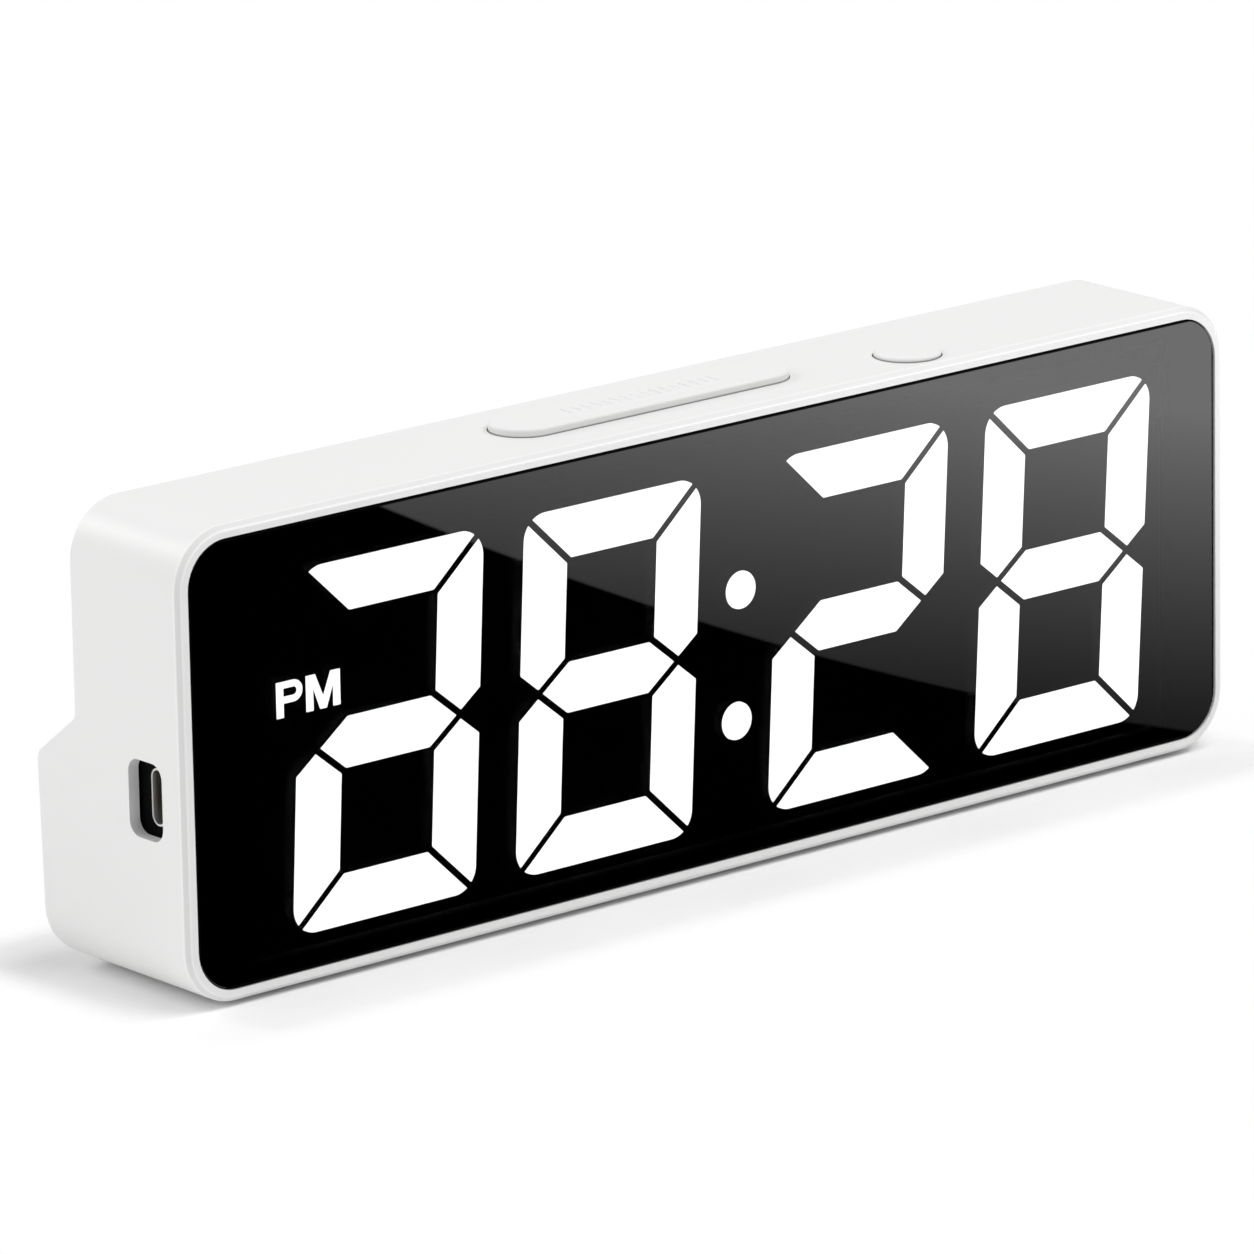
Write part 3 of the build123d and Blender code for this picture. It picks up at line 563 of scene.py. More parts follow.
@dataclass(frozen=True)
class CellWrap:
    """Printed shrink sleeve of a dry cell, with a bright band and bare metal ends."""

    name: str
    sleeve: Colour
    band: Colour
    pitch: float
    length: float
    bare_end: float = 1.6 * MM
    bare_fade: float = 0.1 * MM
    band_place: float = 12 * MM
    band_half: float = 5 * MM
    scuff: float = 0.5 * MM
    scuff_depth: float = 0.004 * MM
    worn: Colour = grey(0.03)
    worn_share: float = 0.2
    steel: Colour = (0.72, 0.71, 0.69, 1.0)
    roughness: float = 0.28
    scuff_swing: float = 0.12
    steel_swing: float = 0.08

    def material(self) -> bpy.types.Material:
        """Builds the material for a pair of cells, end to end about the middle.

        Returns:
            The material.
        """
        paint = Paint(self.name)
        along = paint.axes()[0].size() - self.pitch / 2
        bare = along.size().step(self.length / 2 - self.bare_end, self.bare_fade)
        stripe = (along - self.band_place).size() < self.band_half
        scuff = paint.noise(self.scuff)
        printed = paint.blend(stripe, self.sleeve, self.band)
        scuffed = paint.blend(scuff * self.worn_share, printed, self.worn)
        return paint.surface(Base_Color=paint.blend(bare, scuffed, self.steel), Metallic=bare,
                             Roughness=self.roughness + scuff * self.scuff_swing + bare * self.steel_swing,
                             Normal=paint.bump(scuff, self.scuff_depth, strength=0.4))


def stand(name: str, data: Any) -> bpy.types.Object:
    """Puts a new object in the scene, at the origin.

    Args:
        name: the object's name.
        data: its mesh, lamp or camera.

    Returns:
        The object.
    """
    made = bpy.data.objects.new(name, data)
    bpy.context.scene.collection.objects.link(made)
    return made


class Repeats(Nodes):
    """A Geometry Nodes tree for what repeats, and its conversion to a plain mesh."""

    def __init__(self, name: str, blank: Optional[bpy.types.Mesh] = None) -> None:
        """Starts a tree.

        Args:
            name: the tree's and the piece's name.
            blank: a mesh that the tree works on, as its input named Blank.
        """
        super().__init__(bpy.data.node_groups.new(name, "GeometryNodeTree"))
        self.name = name
        self.mesh = blank or bpy.data.meshes.new(name)
        self.tree.interface.new_socket("Mesh", in_out="OUTPUT", socket_type="NodeSocketGeometry")
        self.tree.interface.new_socket("Blank", in_out="INPUT", socket_type="NodeSocketGeometry")
        self.entry = self.node("NodeGroupInput")
        self.values: Dict[str, Any] = {}

    def size(self, name: str, value: Any) -> Wire:
        """Adds a named input.

        Args:
            name: the input's name.
            value: a length, a count, a vector or a material.

        Returns:
            The input inside the tree.
        """
        kinds = {float: "NodeSocketFloat", int: "NodeSocketInt", bpy.types.Material: "NodeSocketMaterial"}
        kind = kinds.get(type(value), "NodeSocketVector")
        made = self.tree.interface.new_socket(name, in_out="INPUT", socket_type=kind)
        self.values[made.identifier] = value
        return self.out(self.entry, name)

    def block(self, size: Wire) -> Wire:
        """A block of this size about the origin."""
        return self.out(self.node("GeometryNodeMeshCube", None, {"Size": size}))

    def drum(self, radius: Wire, depth: Wire, sides: int, rings: int = 1) -> Wire:
        """An upright cylinder about the origin.

        Args:
            radius: its radius.
            depth: its height.
            sides: edges around it.
            rings: rows of faces up its wall.

        Returns:
            The cylinder.
        """
        return self.out(self.node("GeometryNodeMeshCylinder", {"fill_type": "NGON"}, {
            "Vertices": sides, "Side Segments": rings, "Radius": radius, "Depth": depth}))

    def moved(self, piece: Wire, **change: Any) -> Wire:
        """A piece changed by a Translation, a Rotation or a Scale."""
        return self.out(self.node("GeometryNodeTransform", None, {"Geometry": piece, **change}))

    def row(self, count: Wire, start: Union[Wire, Place], step: Wire) -> Wire:
        """Points in a straight row.

        Args:
            count: how many.
            start: the first point.
            step: from each point to the next.

        Returns:
            The points.
        """
        return self.out(self.node("GeometryNodeMeshLine", {"mode": "OFFSET"}, {
            "Count": count, "Start Location": start, "Offset": step}))

    def copies(self, points: Wire, piece: Wire) -> Wire:
        """Copies of a piece on points, as real geometry."""
        laid = self.node("GeometryNodeInstanceOnPoints", None, {"Points": points, "Instance": piece})
        return self.out(self.node("GeometryNodeRealizeInstances", None, {0: self.out(laid)}))

    def union(self, *pieces: Wire) -> Wire:
        """One solid out of several that overlap."""
        return self.out(self.node("GeometryNodeMeshBoolean", {"operation": "UNION", "solver": "EXACT"},
                                  {"Mesh 2": list(pieces)}), "Mesh")

    def cut(self, stock: Wire, *tools: Wire) -> Wire:
        """A solid with others taken out of it."""
        return self.out(self.node("GeometryNodeMeshBoolean", {"operation": "DIFFERENCE", "solver": "EXACT"},
                                  {"Mesh 1": stock, "Mesh 2": list(tools)}), "Mesh")

    def finish(self, geometry: Wire, material: bpy.types.Material) -> bpy.types.Object:
        """Realizes the geometry, sets its material and turns it into a plain mesh object.

        Args:
            geometry: the geometry to keep.
            material: its material.

        Returns:
            A mesh object at the origin with no modifier.
        """
        finish = self.size("Finish", material)
        real = self.out(self.node("GeometryNodeRealizeInstances", None, {0: geometry}))
        dressed = self.node("GeometryNodeSetMaterial", None, {"Geometry": real, "Material": finish})
        self.node("NodeGroupOutput", None, {0: self.out(dressed)})
        host = stand(self.name, self.mesh)
        modifier = host.modifiers.new("repeats", "NODES")
        modifier.node_group = self.tree
        for identifier, value in self.values.items():
            modifier[identifier] = value
        bpy.context.view_layer.update()
        evaluated = host.evaluated_get(bpy.context.evaluated_depsgraph_get())
        mesh = bpy.data.meshes.new_from_object(evaluated)
        host.modifiers.remove(modifier)
        host.data = mesh
        return host


def dress(material: bpy.types.Material, *nodes: str) -> None:
    """Gives CAD nodes a material.

    Args:
        material: the material.
        *nodes: names of CAD nodes.
    """
    for name in nodes:
        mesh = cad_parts[name].data
        mesh.materials.clear()
        mesh.materials.append(material)
        LOG.info("dressed %s with %s", name, material.name)


def weld(mesh: bpy.types.Mesh, apart: float, turn_out: bool = False) -> None:
    """Merges the points of a mesh that lie together.

    Args:
        mesh: the mesh, which is changed.
        apart: the largest distance between points that are merged.
        turn_out: whether its faces are turned outwards too.
    """
    work = bmesh.new()
    work.from_mesh(mesh)
    bmesh.ops.remove_doubles(work, verts=work.verts, dist=apart)
    if turn_out:
        bmesh.ops.recalc_face_normals(work, faces=work.faces)
    work.to_mesh(mesh)
    work.free()


def soften(piece: bpy.types.Object, crease: float = 30.0) -> None:
    """Shades a piece smooth, with sharp edges above an angle in degrees."""
    piece.data.shade_smooth()
    piece.data.set_sharp_from_angle(angle=math.radians(crease))


def settle(piece: bpy.types.Object, body: Body, slot: Slot, *stands_for: str) -> None:
    """Makes an added piece ride on its body.

    Args:
        piece: a mesh object at the origin.
        body: the body it moves with.
        slot: the record's slot for its finish; not used.
        *stands_for: CAD nodes that it replaces.
    """
    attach(piece, body.value)
    if stands_for:
        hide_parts(*stands_for)
    LOG.info("built %s on %s", piece.name, body.value)


@dataclass
class CaseShell:
    """Moulded housing, back panel and rubber feet."""

    roughness: float = 0.42
    rubber: Colour = (0.09, 0.09, 0.092, 1.0)
    rubber_roughness: float = 0.8
    rubber_grain: float = 0.6 * MM
    # Painted light on the front rim: a painted highlight at the lip and at the top's edge, and painted shade
    # on the slope between them.
    lip_highlight: Band = Band(0.13 * MM, 0.26 * MM, 1.09)
    chamfer_shade: Band = Band(0.55 * MM, 0.55 * MM, 0.93)
    top_highlight: Band = Band(1.05 * MM, 0.4 * MM, 1.05)

    def dress(self) -> None:
        """Gives the mouldings and the feet their finishes."""
        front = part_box("main_housing")[0].y
        # Painted highlights and painted shade along the front rim, at depths from the housing's front.
        edges = tuple(line._replace(place=front + line.place)
                      for line in (self.lip_highlight, self.chamfer_shade, self.top_highlight))
        dress(MouldedPlastic("white_shell", CASE_WHITE, self.roughness, edges=edges).material(),
              "main_housing")
        dress(MouldedPlastic("white_panel", CASE_WHITE, self.roughness).material(), "rear_cover")
        dress(MattSkin("foot_rubber", self.rubber, self.rubber_roughness, self.rubber_grain).material(),
              "rubber_feet")


@dataclass
class DisplayWindow:
    """Dark lens, its adhesive ring, and the black block and dark guides behind it."""

    tint: float = 0.4
    side_border: float = 3.4 * MM
    end_border: float = 11.0 * MM
    fade: float = 2.5 * MM
    edge_line: float = 0.5 * MM
    foam: Colour = grey(0.004)
    foam_roughness: float = 0.9
    foam_grain: float = 0.4 * MM
    black: Colour = grey(0.0022)
    black_roughness: float = 0.6
    black_tone: float = 0.05
    black_gloss: float = 0.03

    def black_plastic(self, name: str) -> bpy.types.Material:
        """The dead black of what lies behind the lens."""
        return MouldedPlastic(name, self.black, self.black_roughness, tone=self.black_tone,
                              gloss=self.black_gloss).material()

    def dress(self) -> None:
        """Gives the lens, the ring, the block and the dark guides their finishes."""
        low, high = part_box("front_lens")
        dress(TintedLens("tinted_lens", low, high, self.tint, self.side_border, self.end_border, self.fade,
                         self.edge_line).material(), "front_lens")
        dress(MattSkin("ring_foam", self.foam, self.foam_roughness, self.foam_grain).material(), "lens_tape")
        dress(self.black_plastic("black_block"), "display_reflector")
        dress(self.black_plastic("smoked_guide"), "unlit_segments", "pm_window")


@dataclass
class Digits:
    """Lit segments, the colon and the half-day letters.

    The letters' margins are to the edges of their window. bowl_share and valley_share are of the letters'
    height, valley_inside is of the valley, and bowl_stroke, valley_foot and shoulder are of the stroke.
    """

    glow: float = 3.4
    count: int = 4
    margin: float = 1.05 * MM
    left_margin: float = 0.75 * MM
    right_margin: float = 0.65 * MM
    first_width: float = 4.9 * MM
    second_width: float = 6.4 * MM
    stroke: float = 1.3 * MM
    bowl_share: float = 0.61
    bowl_stroke: float = 0.8
    valley_share: float = 0.34
    valley_inside: float = 1.05
    valley_foot: float = 0.46
    shoulder: float = 1.32
    skin: float = 0.12 * MM
    arc_steps: int = 14
    weld_apart: float = 0.0001 * MM

    def dress(self) -> None:
        """Gives the lit segments and the colon their finish."""
        digits = [f"digit_{number}_segments" for number in range(1, self.count + 1)]
        dress(LitGuide("lit_guide", self.glow).material(), *digits, "colon_dots")

    def first_letter(self, left: float, low: float, high: float) -> List[Outline]:
        """Draws the upright letter with a bowl.

        Args:
            left: its left edge.
            low: its foot.
            high: its top.

        Returns:
            Two closed outlines, the second of which is the hole.
        """
        bowl = (high - low) * self.bowl_share
        radius = bowl / 2
        inner = radius - self.stroke * self.bowl_stroke
        stem = left + self.stroke
        x, z = left + self.first_width - radius, high - radius
        turns = [math.pi / 2 - math.pi * i / self.arc_steps for i in range(self.arc_steps + 1)]
        outer = [(x + radius * math.cos(a), z + radius * math.sin(a)) for a in turns]
        hole = [(x + inner * math.cos(a), z + inner * math.sin(a)) for a in turns]
        return [outer + [(stem, high - bowl), (stem, low), (left, low), (left, high)],
                hole + [(stem, z - inner), (stem, z + inner)]]

    def second_letter(self, right: float, low: float, high: float) -> List[Outline]:
        """Draws the letter with two uprights and a valley.

        Args:
            right: its right edge.
            low: its foot.
            high: its top.

        Returns:
            One closed outline.
        """
        left = right - self.second_width
        middle = (left + right) / 2
        stem = left + self.stroke
        valley = (high - low) * self.valley_share
        half = [(left, low), (left, high), (left + self.stroke * self.shoulder, high)]
        inner = [(middle - self.stroke * self.valley_foot, low), (stem, high - valley * self.valley_inside),
                 (stem, low)]
        right_half = [(2 * middle - x, z) for x, z in reversed(half)]
        right_inner = [(2 * middle - x, z) for x, z in reversed(inner)]
        return [half + [(middle, low + valley)] + right_half + right_inner + inner]

    def build(self) -> None:
        """Builds the two letters as thin lit plates on the front of their window."""
        corner, far_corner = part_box("pm_window")
        low, high = corner.z + self.margin, far_corner.z - self.margin
        shape = bpy.data.curves.new("half_day_letters", "CURVE")
        shape.dimensions = "2D"
        shape.fill_mode = "BOTH"
        shape.extrude = self.skin / 2
        for outline in (self.first_letter(corner.x + self.left_margin, low, high)
                        + self.second_letter(far_corner.x - self.right_margin, low, high)):
            spline = shape.splines.new("POLY")
            spline.points.add(len(outline) - 1)
            spline.use_cyclic_u = True
            for point, (x, z) in zip(spline.points, outline):
                point.co = (x, z, 0.0, 1.0)
        flat = bpy.data.objects.new("half_day_curve", shape)
        mesh = bpy.data.meshes.new_from_object(flat)
        bpy.data.objects.remove(flat)
        bpy.data.curves.remove(shape)
        upright = Matrix.Rotation(math.pi / 2, 4, "X")
        mesh.transform(Matrix.Translation((0.0, corner.y - self.skin, 0.0)) @ upright)
        weld(mesh, self.weld_apart, turn_out=True)
        mesh.materials.append(LitGuide("letter_glow", self.glow).material())
        settle(stand("half_day_letters", mesh), Body.CASE, Slot.LIT)


@dataclass
class Electronics:
    """Board and the parts on it, which the case encloses."""

    mask: Colour = (0.012, 0.11, 0.05, 1.0)
    track_pitch: float = 1.1 * MM
    diode: Colour = (0.78, 0.74, 0.45, 1.0)
    resin: Colour = grey(0.012)
    can: Colour = (0.7, 0.7, 0.71, 1.0)
    switch: Colour = grey(0.03)
    zinc: Colour = (0.6, 0.6, 0.62, 1.0)

    def dress(self) -> None:
        """Gives the board and its parts their finishes."""
        dress(SolderMask("solder_mask", self.mask, self.track_pitch).material(), "display_board")
        dress(MattSkin("diode_resin", self.diode, roughness=0.4, grain=0.8 * MM).material(), "segment_leds")
        dress(MattSkin("chip_resin", self.resin, roughness=0.55, grain=0.3 * MM).material(),
              "driver_chip", "buzzer")
        dress(PlatedMetal("can_metal", self.can, roughness=0.3).material(), "crystal", "capacitor")
        dress(MouldedPlastic("switch_body", self.switch, roughness=0.5).material(),
              "top_switches", "back_switches")
        dress(PlatedMetal("board_screw_zinc", self.zinc, roughness=0.32).material(), "board_screws")


@dataclass
class ChargePort:
    """Charging socket in the left end, with its contact pads."""

    steel: Colour = (0.95, 0.95, 0.95, 1.0)
    drawn_along: Place = (0.2, 1.0, 1.0)
    tongue: Colour = grey(0.2)
    collar: Colour = grey(0.002)
    gilt: Colour = (0.83, 0.62, 0.25, 1.0)
    pad_count: int = 12
    pad_pitch: float = 0.5 * MM
    pad_width: float = 0.26 * MM
    pad_length: float = 3.4 * MM
    pad_skin: float = 0.04 * MM
    pad_inset: float = 0.2 * MM

    def dress(self) -> None:
        """Gives the shell, the tongue and the collar their finishes."""
        dress(PlatedMetal("socket_steel", self.steel, roughness=0.34, stretch=self.drawn_along).material(),
              "usb_shell")
        dress(MouldedPlastic("socket_grey", self.tongue, roughness=0.45, gloss=0.3).material(), "usb_tongue")
        dress(MouldedPlastic("collar_black", self.collar, roughness=0.7, gloss=0.06).material(),
              "port_collar")

    def build(self) -> None:
        """Lays a row of gilt pads on each face of the tongue."""
        low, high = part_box("usb_tongue")
        repeats = Repeats("contact_pads")
        count = repeats.size("Count", self.pad_count)
        step = repeats.size("Step", (0.0, 0.0, self.pad_pitch))
        pad = repeats.size("Pad", (self.pad_length, self.pad_skin, self.pad_width))
        start_x = low.x + self.pad_length / 2 + self.pad_inset
        start_z = (low.z + high.z) / 2 - self.pad_pitch * (self.pad_count - 1) / 2
        rows = []
        for side, face in (("Front", low.y - self.pad_skin / 2), ("Back", high.y + self.pad_skin / 2)):
            start = repeats.size(f"{side} start", (start_x, face, start_z))
            rows.append(repeats.copies(repeats.row(count, start, step), repeats.block(pad)))
        both = repeats.out(repeats.node("GeometryNodeJoinGeometry", None, {0: rows}))
        gilt = PlatedMetal("contact_gilt", self.gilt, roughness=0.25).material()
        settle(repeats.finish(both, gilt), Body.CASE, Slot.METAL)


@dataclass
class Controls:
    """Long bar and round button on the top, and the three buttons at the back."""

    white: Colour = (0.85, 0.85, 0.845, 1.0)
    roughness: float = 0.4
    grain: float = 0.3 * MM
    groove_count: int = 16
    groove_pitch: float = 1.95 * MM
    groove_length: float = 3.4 * MM
    groove_width: float = 0.8 * MM
    groove_depth: float = 0.28 * MM
    sides: int = 20
    rings: int = 12
    weld_apart: float = 0.001 * MM
    level_from: float = 0.9999
    # Painted shade on the walls of the top controls: from the crown down, and in a darker line at the case.
    crown: float = 0.4 * MM
    crown_fade: float = 0.3 * MM
    wall_shade_share: float = 0.9
    seam_height: float = 0.16 * MM
    seam_fade: float = 0.12 * MM
    seam_shade_share: float = 0.42

    def finish(self, name: str, top: Optional[float] = None) -> bpy.types.Material:
        """The white of the controls.

        Args:
            name: the material's name.
            top: the level of a control's top, below which its wall gets painted shade, darker still in a
                painted line of shade at the case.

        Returns:
            The material.
        """
        bands: Tuple[Band, ...] = ()
        if top is not None:
            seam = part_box("main_housing")[1].z + self.seam_height
            # Painted shade: the wall below the top is darker, and darker still at its foot, in the gap to
            # the case.
            bands = (Band(top - self.crown, self.crown_fade, self.wall_shade_share),
                     Band(seam, self.seam_fade, self.seam_shade_share))
        return MouldedPlastic(name, self.white, self.roughness, self.grain, bands=bands).material()

    def dress(self) -> None:
        """Gives the buttons their finish."""
        dress(self.finish("top_button_white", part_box("alarm_button")[1].z), "alarm_button")
        dress(self.finish("back_button_white"), "set_button", "up_button", "down_button")

    def build(self) -> None:
        """Builds the long bar with shallow finger grooves across its top, in place of the plain one."""
        low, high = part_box("snooze_bar")
        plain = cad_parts["snooze_bar"].data.copy()
        weld(plain, self.weld_apart)
        repeats = Repeats("grooved_bar", plain)
        middle = (low + high) / 2
        span = self.groove_pitch * (self.groove_count - 1)
        count = repeats.size("Count", self.groove_count)
        first = repeats.size("First", (middle.x - span / 2, middle.y, high.z))
        step = repeats.size("Step", (self.groove_pitch, 0.0, 0.0))
        size = repeats.size("Groove", (self.groove_width / 2, self.groove_length / 2, self.groove_depth))
        ball = repeats.out(repeats.node("GeometryNodeMeshUVSphere", None, {
            "Segments": self.sides, "Rings": self.rings}))
        tools = repeats.copies(repeats.row(count, first, step), repeats.moved(ball, Scale=size))
        grooved = repeats.cut(repeats.out(repeats.entry, "Blank"), tools)
        bar = repeats.finish(grooved, self.finish("bar_white", high.z))
        soften(bar)
        for face in bar.data.polygons:
            face.use_smooth = face.normal.z < self.level_from
        settle(bar, Body.BAR, Slot.CONTROL, "snooze_bar")


@dataclass
class BatteryBase:
    """Battery door, cells and contacts in the base."""

    roughness: float = 0.43
    sleeve: Colour = (0.015, 0.017, 0.022, 1.0)
    band: Colour = (0.33, 0.34, 0.36, 1.0)
    nickel: Colour = (0.72, 0.7, 0.66, 1.0)
    cell_length: float = 44.5 * MM
    rib_count: int = 4
    rib_pitch: float = 1.0 * MM
    rib_length: float = 8.0 * MM
    rib_width: float = 0.42 * MM
    rib_height: float = 0.3 * MM
    thumb_depth: float = 0.7 * MM
    thumb_drop: float = 4.5 * MM

    def dress(self) -> None:
        """Gives the door, the cells and the contacts their finishes."""
        low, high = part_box("battery_cells")
        pitch = high.x - low.x - self.cell_length
        dress(MouldedPlastic("door_white", CASE_WHITE, self.roughness).material(), "battery_door")
        dress(CellWrap("cell_sleeve", self.sleeve, self.band, pitch, self.cell_length).material(),
              "battery_cells")
        dress(PlatedMetal("contact_nickel", self.nickel, roughness=0.25).material(), "battery_contacts")

    def build(self) -> None:
        """Lays grip ribs in the door's thumb recess."""
        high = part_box("battery_door")[1]
        repeats = Repeats("thumb_ribs")
        span = self.rib_pitch * (self.rib_count - 1)
        count = repeats.size("Count", self.rib_count)
        start = repeats.size("Start", (0.0, high.y - self.thumb_depth, high.z - self.thumb_drop - span / 2))
        step = repeats.size("Step", (0.0, 0.0, self.rib_pitch))
        rib = repeats.size("Rib", (self.rib_length, 2 * self.rib_height, self.rib_width))
        ribs = repeats.copies(repeats.row(count, start, step), repeats.block(rib))
        white = MouldedPlastic("rib_white", CASE_WHITE, self.roughness).material()
        settle(repeats.finish(ribs, white), Body.DOOR, Slot.WHITE)


@dataclass
class CaseScrews:
    """Pan-head screws with a cross recess, in the wells of the back panel."""

    zinc: Colour = (0.58, 0.58, 0.6, 1.0)
    per_row: int = 2
    per_column: int = 2
    head_radius: float = 2.4 * MM
    head_height: float = 1.8 * MM
    crown_share: float = 0.72
    dome_power: float = 4.0
    slot_length: float = 2.7 * MM
    slot_width: float = 0.62 * MM
    slot_depth: float = 1.0 * MM
    shank_radius: float = 1.25 * MM
    shank_overlap: float = 0.45 * MM
    sides: int = 40
    rings: int = 6

    def head(self, repeats: Repeats) -> Wire:
        """Builds a pan head: a drum whose wall draws in towards its crown.

        Args:
            repeats: the tree.

        Returns:
            The head, standing on its seat.
        """
        radius = repeats.size("Head radius", self.head_radius)
        tall = repeats.size("Head height", self.head_height)
        drawn = repeats.size("Draw at the crown", 1.0 - self.crown_share)
        drum = repeats.drum(radius, tall, self.sides, self.rings)
        stood = repeats.moved(drum, Translation=(0.0, 0.0, self.head_height / 2))
        place = repeats.out(repeats.node("GeometryNodeInputPosition"))
        share = 1.0 - (repeats.split(place)[2] / tall) ** self.dome_power * drawn
        scale = repeats.out(repeats.node("ShaderNodeCombineXYZ", None, {0: share, 1: share, 2: 1.0}))
        domed = repeats.out(repeats.node("ShaderNodeVectorMath", {"operation": "MULTIPLY"},
                                         {0: place, 1: scale}))
        return repeats.out(repeats.node("GeometryNodeSetPosition", None,
                                        {"Geometry": stood, "Position": domed}))

    def screw(self, repeats: Repeats, reach: float) -> Wire:
        """Builds one screw along Z, with its seat at the origin.

        Args:
            repeats: the tree.
            reach: how far its shank goes below the seat.

        Returns:
            The screw.
        """
        shank = repeats.size("Shank radius", self.shank_radius)
        stem = repeats.size("Shank length", reach + self.shank_overlap)
        post = repeats.moved(repeats.drum(shank, stem, self.sides),
                             Translation=(0.0, 0.0, (self.shank_overlap - reach) / 2))
        solid = repeats.union(self.head(repeats), post)
        arms = []
        for name, wide, high in (("Slot along", self.slot_length, self.slot_width),
                                 ("Slot across", self.slot_width, self.slot_length)):
            arm = repeats.block(repeats.size(name, (wide, high, 2 * self.slot_depth)))
            arms.append(repeats.moved(arm, Translation=(0.0, 0.0, self.head_height)))
        return repeats.cut(solid, *arms)

    def build(self) -> None:
        """Builds the screws in place of the plain ones."""
        low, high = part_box("case_screws")
        repeats = Repeats("cross_head_screws")
        screw = self.screw(repeats, high.y - low.y - self.head_height)
        turned = repeats.moved(screw, Rotation=(-math.pi / 2, 0.0, 0.0))
        seat = high.y - self.head_height
        corner = repeats.size("Corner", (low.x + self.head_radius, seat, low.z + self.head_radius))
        across = repeats.size("Across", (high.x - low.x - 2 * self.head_radius, 0.0, 0.0))
        up = repeats.size("Up", (0.0, 0.0, high.z - low.z - 2 * self.head_radius))
        row = repeats.row(repeats.size("Screws in a row", self.per_row), corner, across)
        column = repeats.row(repeats.size("Screws in a column", self.per_column), (0.0, 0.0, 0.0), up)
        screws = repeats.copies(repeats.copies(row, column), turned)
        piece = repeats.finish(screws, PlatedMetal("screw_zinc", self.zinc, roughness=0.3).material())
        soften(piece)
        settle(piece, Body.CASE, Slot.SCREW, "case_screws")


def sheet(name: str, corners: List[Place], material: bpy.types.Material) -> bpy.types.Object:
    """Builds a flat sheet of the studio set.

    Args:
        name: its name.
        corners: its four corners in order.
        material: its material.

    Returns:
        The sheet.
    """
    mesh = bpy.data.meshes.new(name)
    mesh.from_pydata(corners, [], [(0, 1, 2, 3)])
    mesh.materials.append(material)
    made = stand(name, mesh)
    return made


@dataclass
class GlareCard:
    """A studio card ahead of the lens, for its reflections only: black, with a bright sweep above a curve.

    The sweep's shifts, edge and softness are in millimetres, and its levels are a screen's, from 0 to 255.
    """

    ahead: float = 5.0 * MM
    half_width: float = 125.0 * MM
    foot: float = 0.2 * MM
    height: float = 72.0 * MM
    shift_x: float = 4.2
    shift_z: float = -1.8
    edge_level: float = 2.314
    edge_slope: float = -0.4321
    edge_bend: float = 0.000659
    edge_soft: float = 0.7
    base_level: float = 40.2
    level_x: float = 0.37
    level_z: float = 1.5
    most: float = 106.0
    gain: float = 21.7

    def build(self) -> None:
        """Builds the card and hides it from the eye, from shadows and from diffuse light."""
        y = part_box("front_lens")[0].y - self.ahead
        w, low, high = self.half_width, self.foot, self.height
        card = sheet("glare_card", [(-w, y, low), (w, y, low), (w, y, high), (-w, y, high)], self.material())
        card.visible_camera = False
        card.visible_diffuse = False
        card.visible_shadow = False
        card.visible_volume_scatter = False

    @staticmethod
    def light(level: Wire) -> Wire:
        """The light of a screen's level, by the standard screen curve."""
        full, toe, power = 255.0, 0.055, 2.4
        return ((level / full + toe) / (1.0 + toe)) ** power

    def material(self) -> bpy.types.Material:
        """Builds the card's light from its own coordinates, about the lens's middle.

        Returns:
            The material.
        """
        low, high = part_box("front_lens")
        paint = Paint("glare_sweep")
        x, _, z = paint.axes()
        x = x / MM - self.shift_x
        z = z / MM - ((low.z + high.z) / 2 / MM + self.shift_z)
        edge = self.edge_level + self.edge_slope * x + self.edge_bend * x * x
        above = (z - edge).step(0.0, self.edge_soft)
        level = (self.base_level + self.level_x * x + self.level_z * z).lowest(self.most).highest(0.0)
        mirrored = paint.out(paint.node("ShaderNodeLightPath"), "Is Reflection Ray")
        strength = self.light(level) * above * mirrored * self.gain
        made = paint.close(paint.out(paint.node("ShaderNodeEmission", None, {"Strength": strength})))
        made.cycles.emission_sampling = "NONE"
        return made


@dataclass(frozen=True)
class Lamp:
    """A soft square lamp: its place, its side in metres, its power in watts and whether gloss shows it."""

    name: str
    place: Place
    width: float
    power: float
    mirrored: bool = False


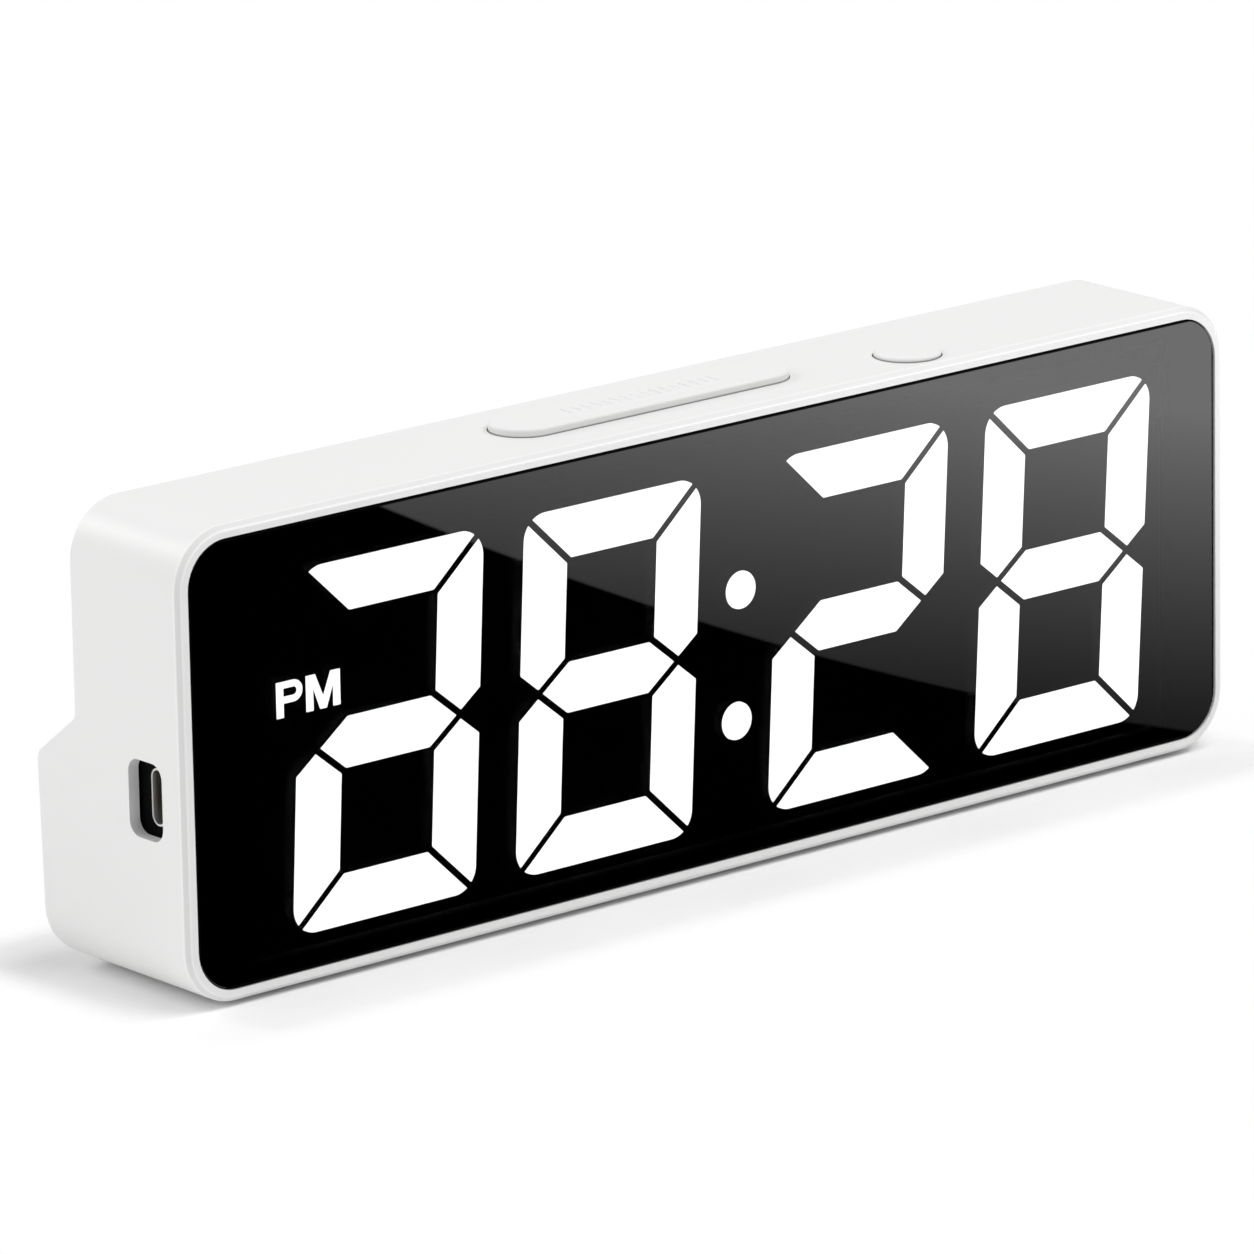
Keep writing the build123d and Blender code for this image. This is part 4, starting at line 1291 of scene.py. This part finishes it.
@dataclass
class Studio:
    """Floor, world, lamps and camera.

    Each lift says at what distance from the clock the floor turns plain white, and by what share; the lifts
    are painted light that makes the clock's cast shadow on the floor lighter and tighter.
    """

    eye: Place = (-0.94481, -1.12644, 0.44477)
    yaw: float = 39.8473
    pitch: float = 15.5235
    roll: float = 1.055
    focal_pixels: float = 9868.45
    photo_pixels: float = 1254.0
    sensor: float = 36.0
    clip: Tuple[float, float] = (0.05, 50.0)
    floor_half: float = 3.0
    floor_white: float = 0.97
    floor_haze: float = 0.2
    haze_drop: float = 0.004
    foot_half_width: float = 105 * MM
    foot_half_depth: float = 18 * MM
    # Painted light: these lifts lighten the clock's cast shadow on the floor, more at the front, right and
    # left.
    far_lift: Band = Band(13 * MM, 12 * MM, 1.0)
    near_lift: Band = Band(6 * MM, 9 * MM, 0.3)
    front_lift: Band = Band(1.4 * MM, 2 * MM, 0.35)
    right_lift: Band = Band(4 * MM, 7 * MM, 0.85)
    left_lift: Band = Band(7 * MM, 9 * MM, 1.0)
    ambient: float = 0.5
    aim: Place = (0.0, 0.0, 0.03)
    lamps: Tuple[Lamp, ...] = (
        Lamp("front_top", (0.25, -0.55, 1.2), 0.9, 8.4),
        Lamp("left", (-1.25, 0.3, 0.55), 0.8, 4.7),
        Lamp("right_high", (0.87, -0.35, 1.0), 0.3, 2.4, mirrored=True),
        Lamp("back_high", (-0.54, 1.07, 0.82), 0.4, 3.2, mirrored=True))

    def lift(self, paint: Paint) -> Wire:
        """Measures from the clock's foot how far the floor has turned plain white, as painted light over the
        clock's shadow.

        Args:
            paint: the floor's material.

        Returns:
            0 at the clock to 1 further out.
        """
        x, y, _ = paint.axes()
        left = (-1.0 * x - self.foot_half_width).highest(0.0)
        right = (x - self.foot_half_width).highest(0.0)
        front = (-1.0 * y - self.foot_half_depth).highest(0.0)
        back = (y - self.foot_half_depth).highest(0.0)
        far = ((left + right) * (left + right) + (front + back) * (front + back)) ** 0.5
        most: Operand = 0.0
        for way, lift in ((far, self.far_lift), (far, self.near_lift), (front, self.front_lift),
                          (right, self.right_lift), (left, self.left_lift)):
            most = (way.step(lift.place, lift.width) * lift.share).highest(most)
        return most

    def floor(self) -> None:
        """Lays a pale floor that keeps the clock's shadow, lightened near the clock by painted light, and
        turns plain white further out.
        """
        paint = Paint("pale_floor")
        tint = paint.blend(paint.noise(self.floor_haze, detail=1.0), grey(self.floor_white),
                           grey(self.floor_white - self.haze_drop))
        matt = paint.out(paint.node("ShaderNodeBsdfDiffuse", None, {"Color": tint}))
        white = paint.out(paint.node("ShaderNodeEmission", None, {"Strength": 1.0}))
        # Painted light: to the eye, the floor's shadow is mixed with white by the lifts.
        share = paint.seen() * self.lift(paint)
        mixed = paint.out(paint.node("ShaderNodeMixShader", None, {0: share, 1: matt, 2: white}))
        r = self.floor_half
        sheet("floor", [(-r, -r, 0.0), (r, -r, 0.0), (r, r, 0.0), (-r, r, 0.0)], paint.close(mixed))

    def world(self) -> None:
        """Sets a white sky that lights softly and is plain white to the eye."""
        world = bpy.data.worlds.new("white_room")
        bpy.context.scene.world = world
        paint = Paint("white_room", world)
        strength = self.ambient + (1.0 - self.ambient) * paint.seen()
        paint.close(paint.out(paint.node("ShaderNodeBackground", None, {"Strength": strength})))

    def hang(self, lamp: Lamp) -> None:
        """Hangs one lamp so that it faces the clock.

        Args:
            lamp: the lamp.
        """
        data = bpy.data.lights.new(lamp.name, "AREA")
        data.shape = "SQUARE"
        data.size = lamp.width
        data.energy = lamp.power
        hung = stand(lamp.name, data)
        hung.location = lamp.place
        hung.rotation_mode = "QUATERNION"
        hung.rotation_quaternion = (Vector(self.aim) - Vector(lamp.place)).to_track_quat("-Z", "Y")
        hung.visible_glossy = lamp.mirrored

    def camera(self) -> None:
        """Places the camera at the photograph's angle."""
        yaw, pitch, roll = (math.radians(angle) for angle in (self.yaw, self.pitch, self.roll))
        right = Vector((math.cos(yaw), -math.sin(yaw), 0.0))
        ahead = Vector((math.sin(yaw) * math.cos(pitch), math.cos(yaw) * math.cos(pitch), -math.sin(pitch)))
        down = ahead.cross(right)
        across = math.cos(roll) * right + math.sin(roll) * down
        below = -math.sin(roll) * right + math.cos(roll) * down
        turn = Matrix((across, -below, -ahead)).transposed().to_4x4()
        data = bpy.data.cameras.new("camera")
        data.sensor_width = self.sensor
        data.lens = self.focal_pixels / self.photo_pixels * self.sensor
        data.clip_start, data.clip_end = self.clip
        camera = stand("camera", data)
        camera.matrix_world = Matrix.Translation(self.eye) @ turn
        bpy.context.scene.camera = camera

    def build(self) -> None:
        """Builds the whole set."""
        bpy.context.scene.view_settings.view_transform = "Standard"
        self.floor()
        self.world()
        for lamp in self.lamps:
            self.hang(lamp)
        self.camera()
        GlareCard().build()


def main() -> None:
    """Builds every sub-assembly in order."""
    logging.basicConfig(level=logging.INFO, format="%(name)s: %(message)s")
    for clad in (CaseShell(), DisplayWindow(), Electronics()):
        clad.dress()
    for fitted in (Digits(), ChargePort(), Controls(), BatteryBase()):
        fitted.dress()
        fitted.build()
    CaseScrews().build()
    Studio().build()


if __name__ == "__main__":
    main()
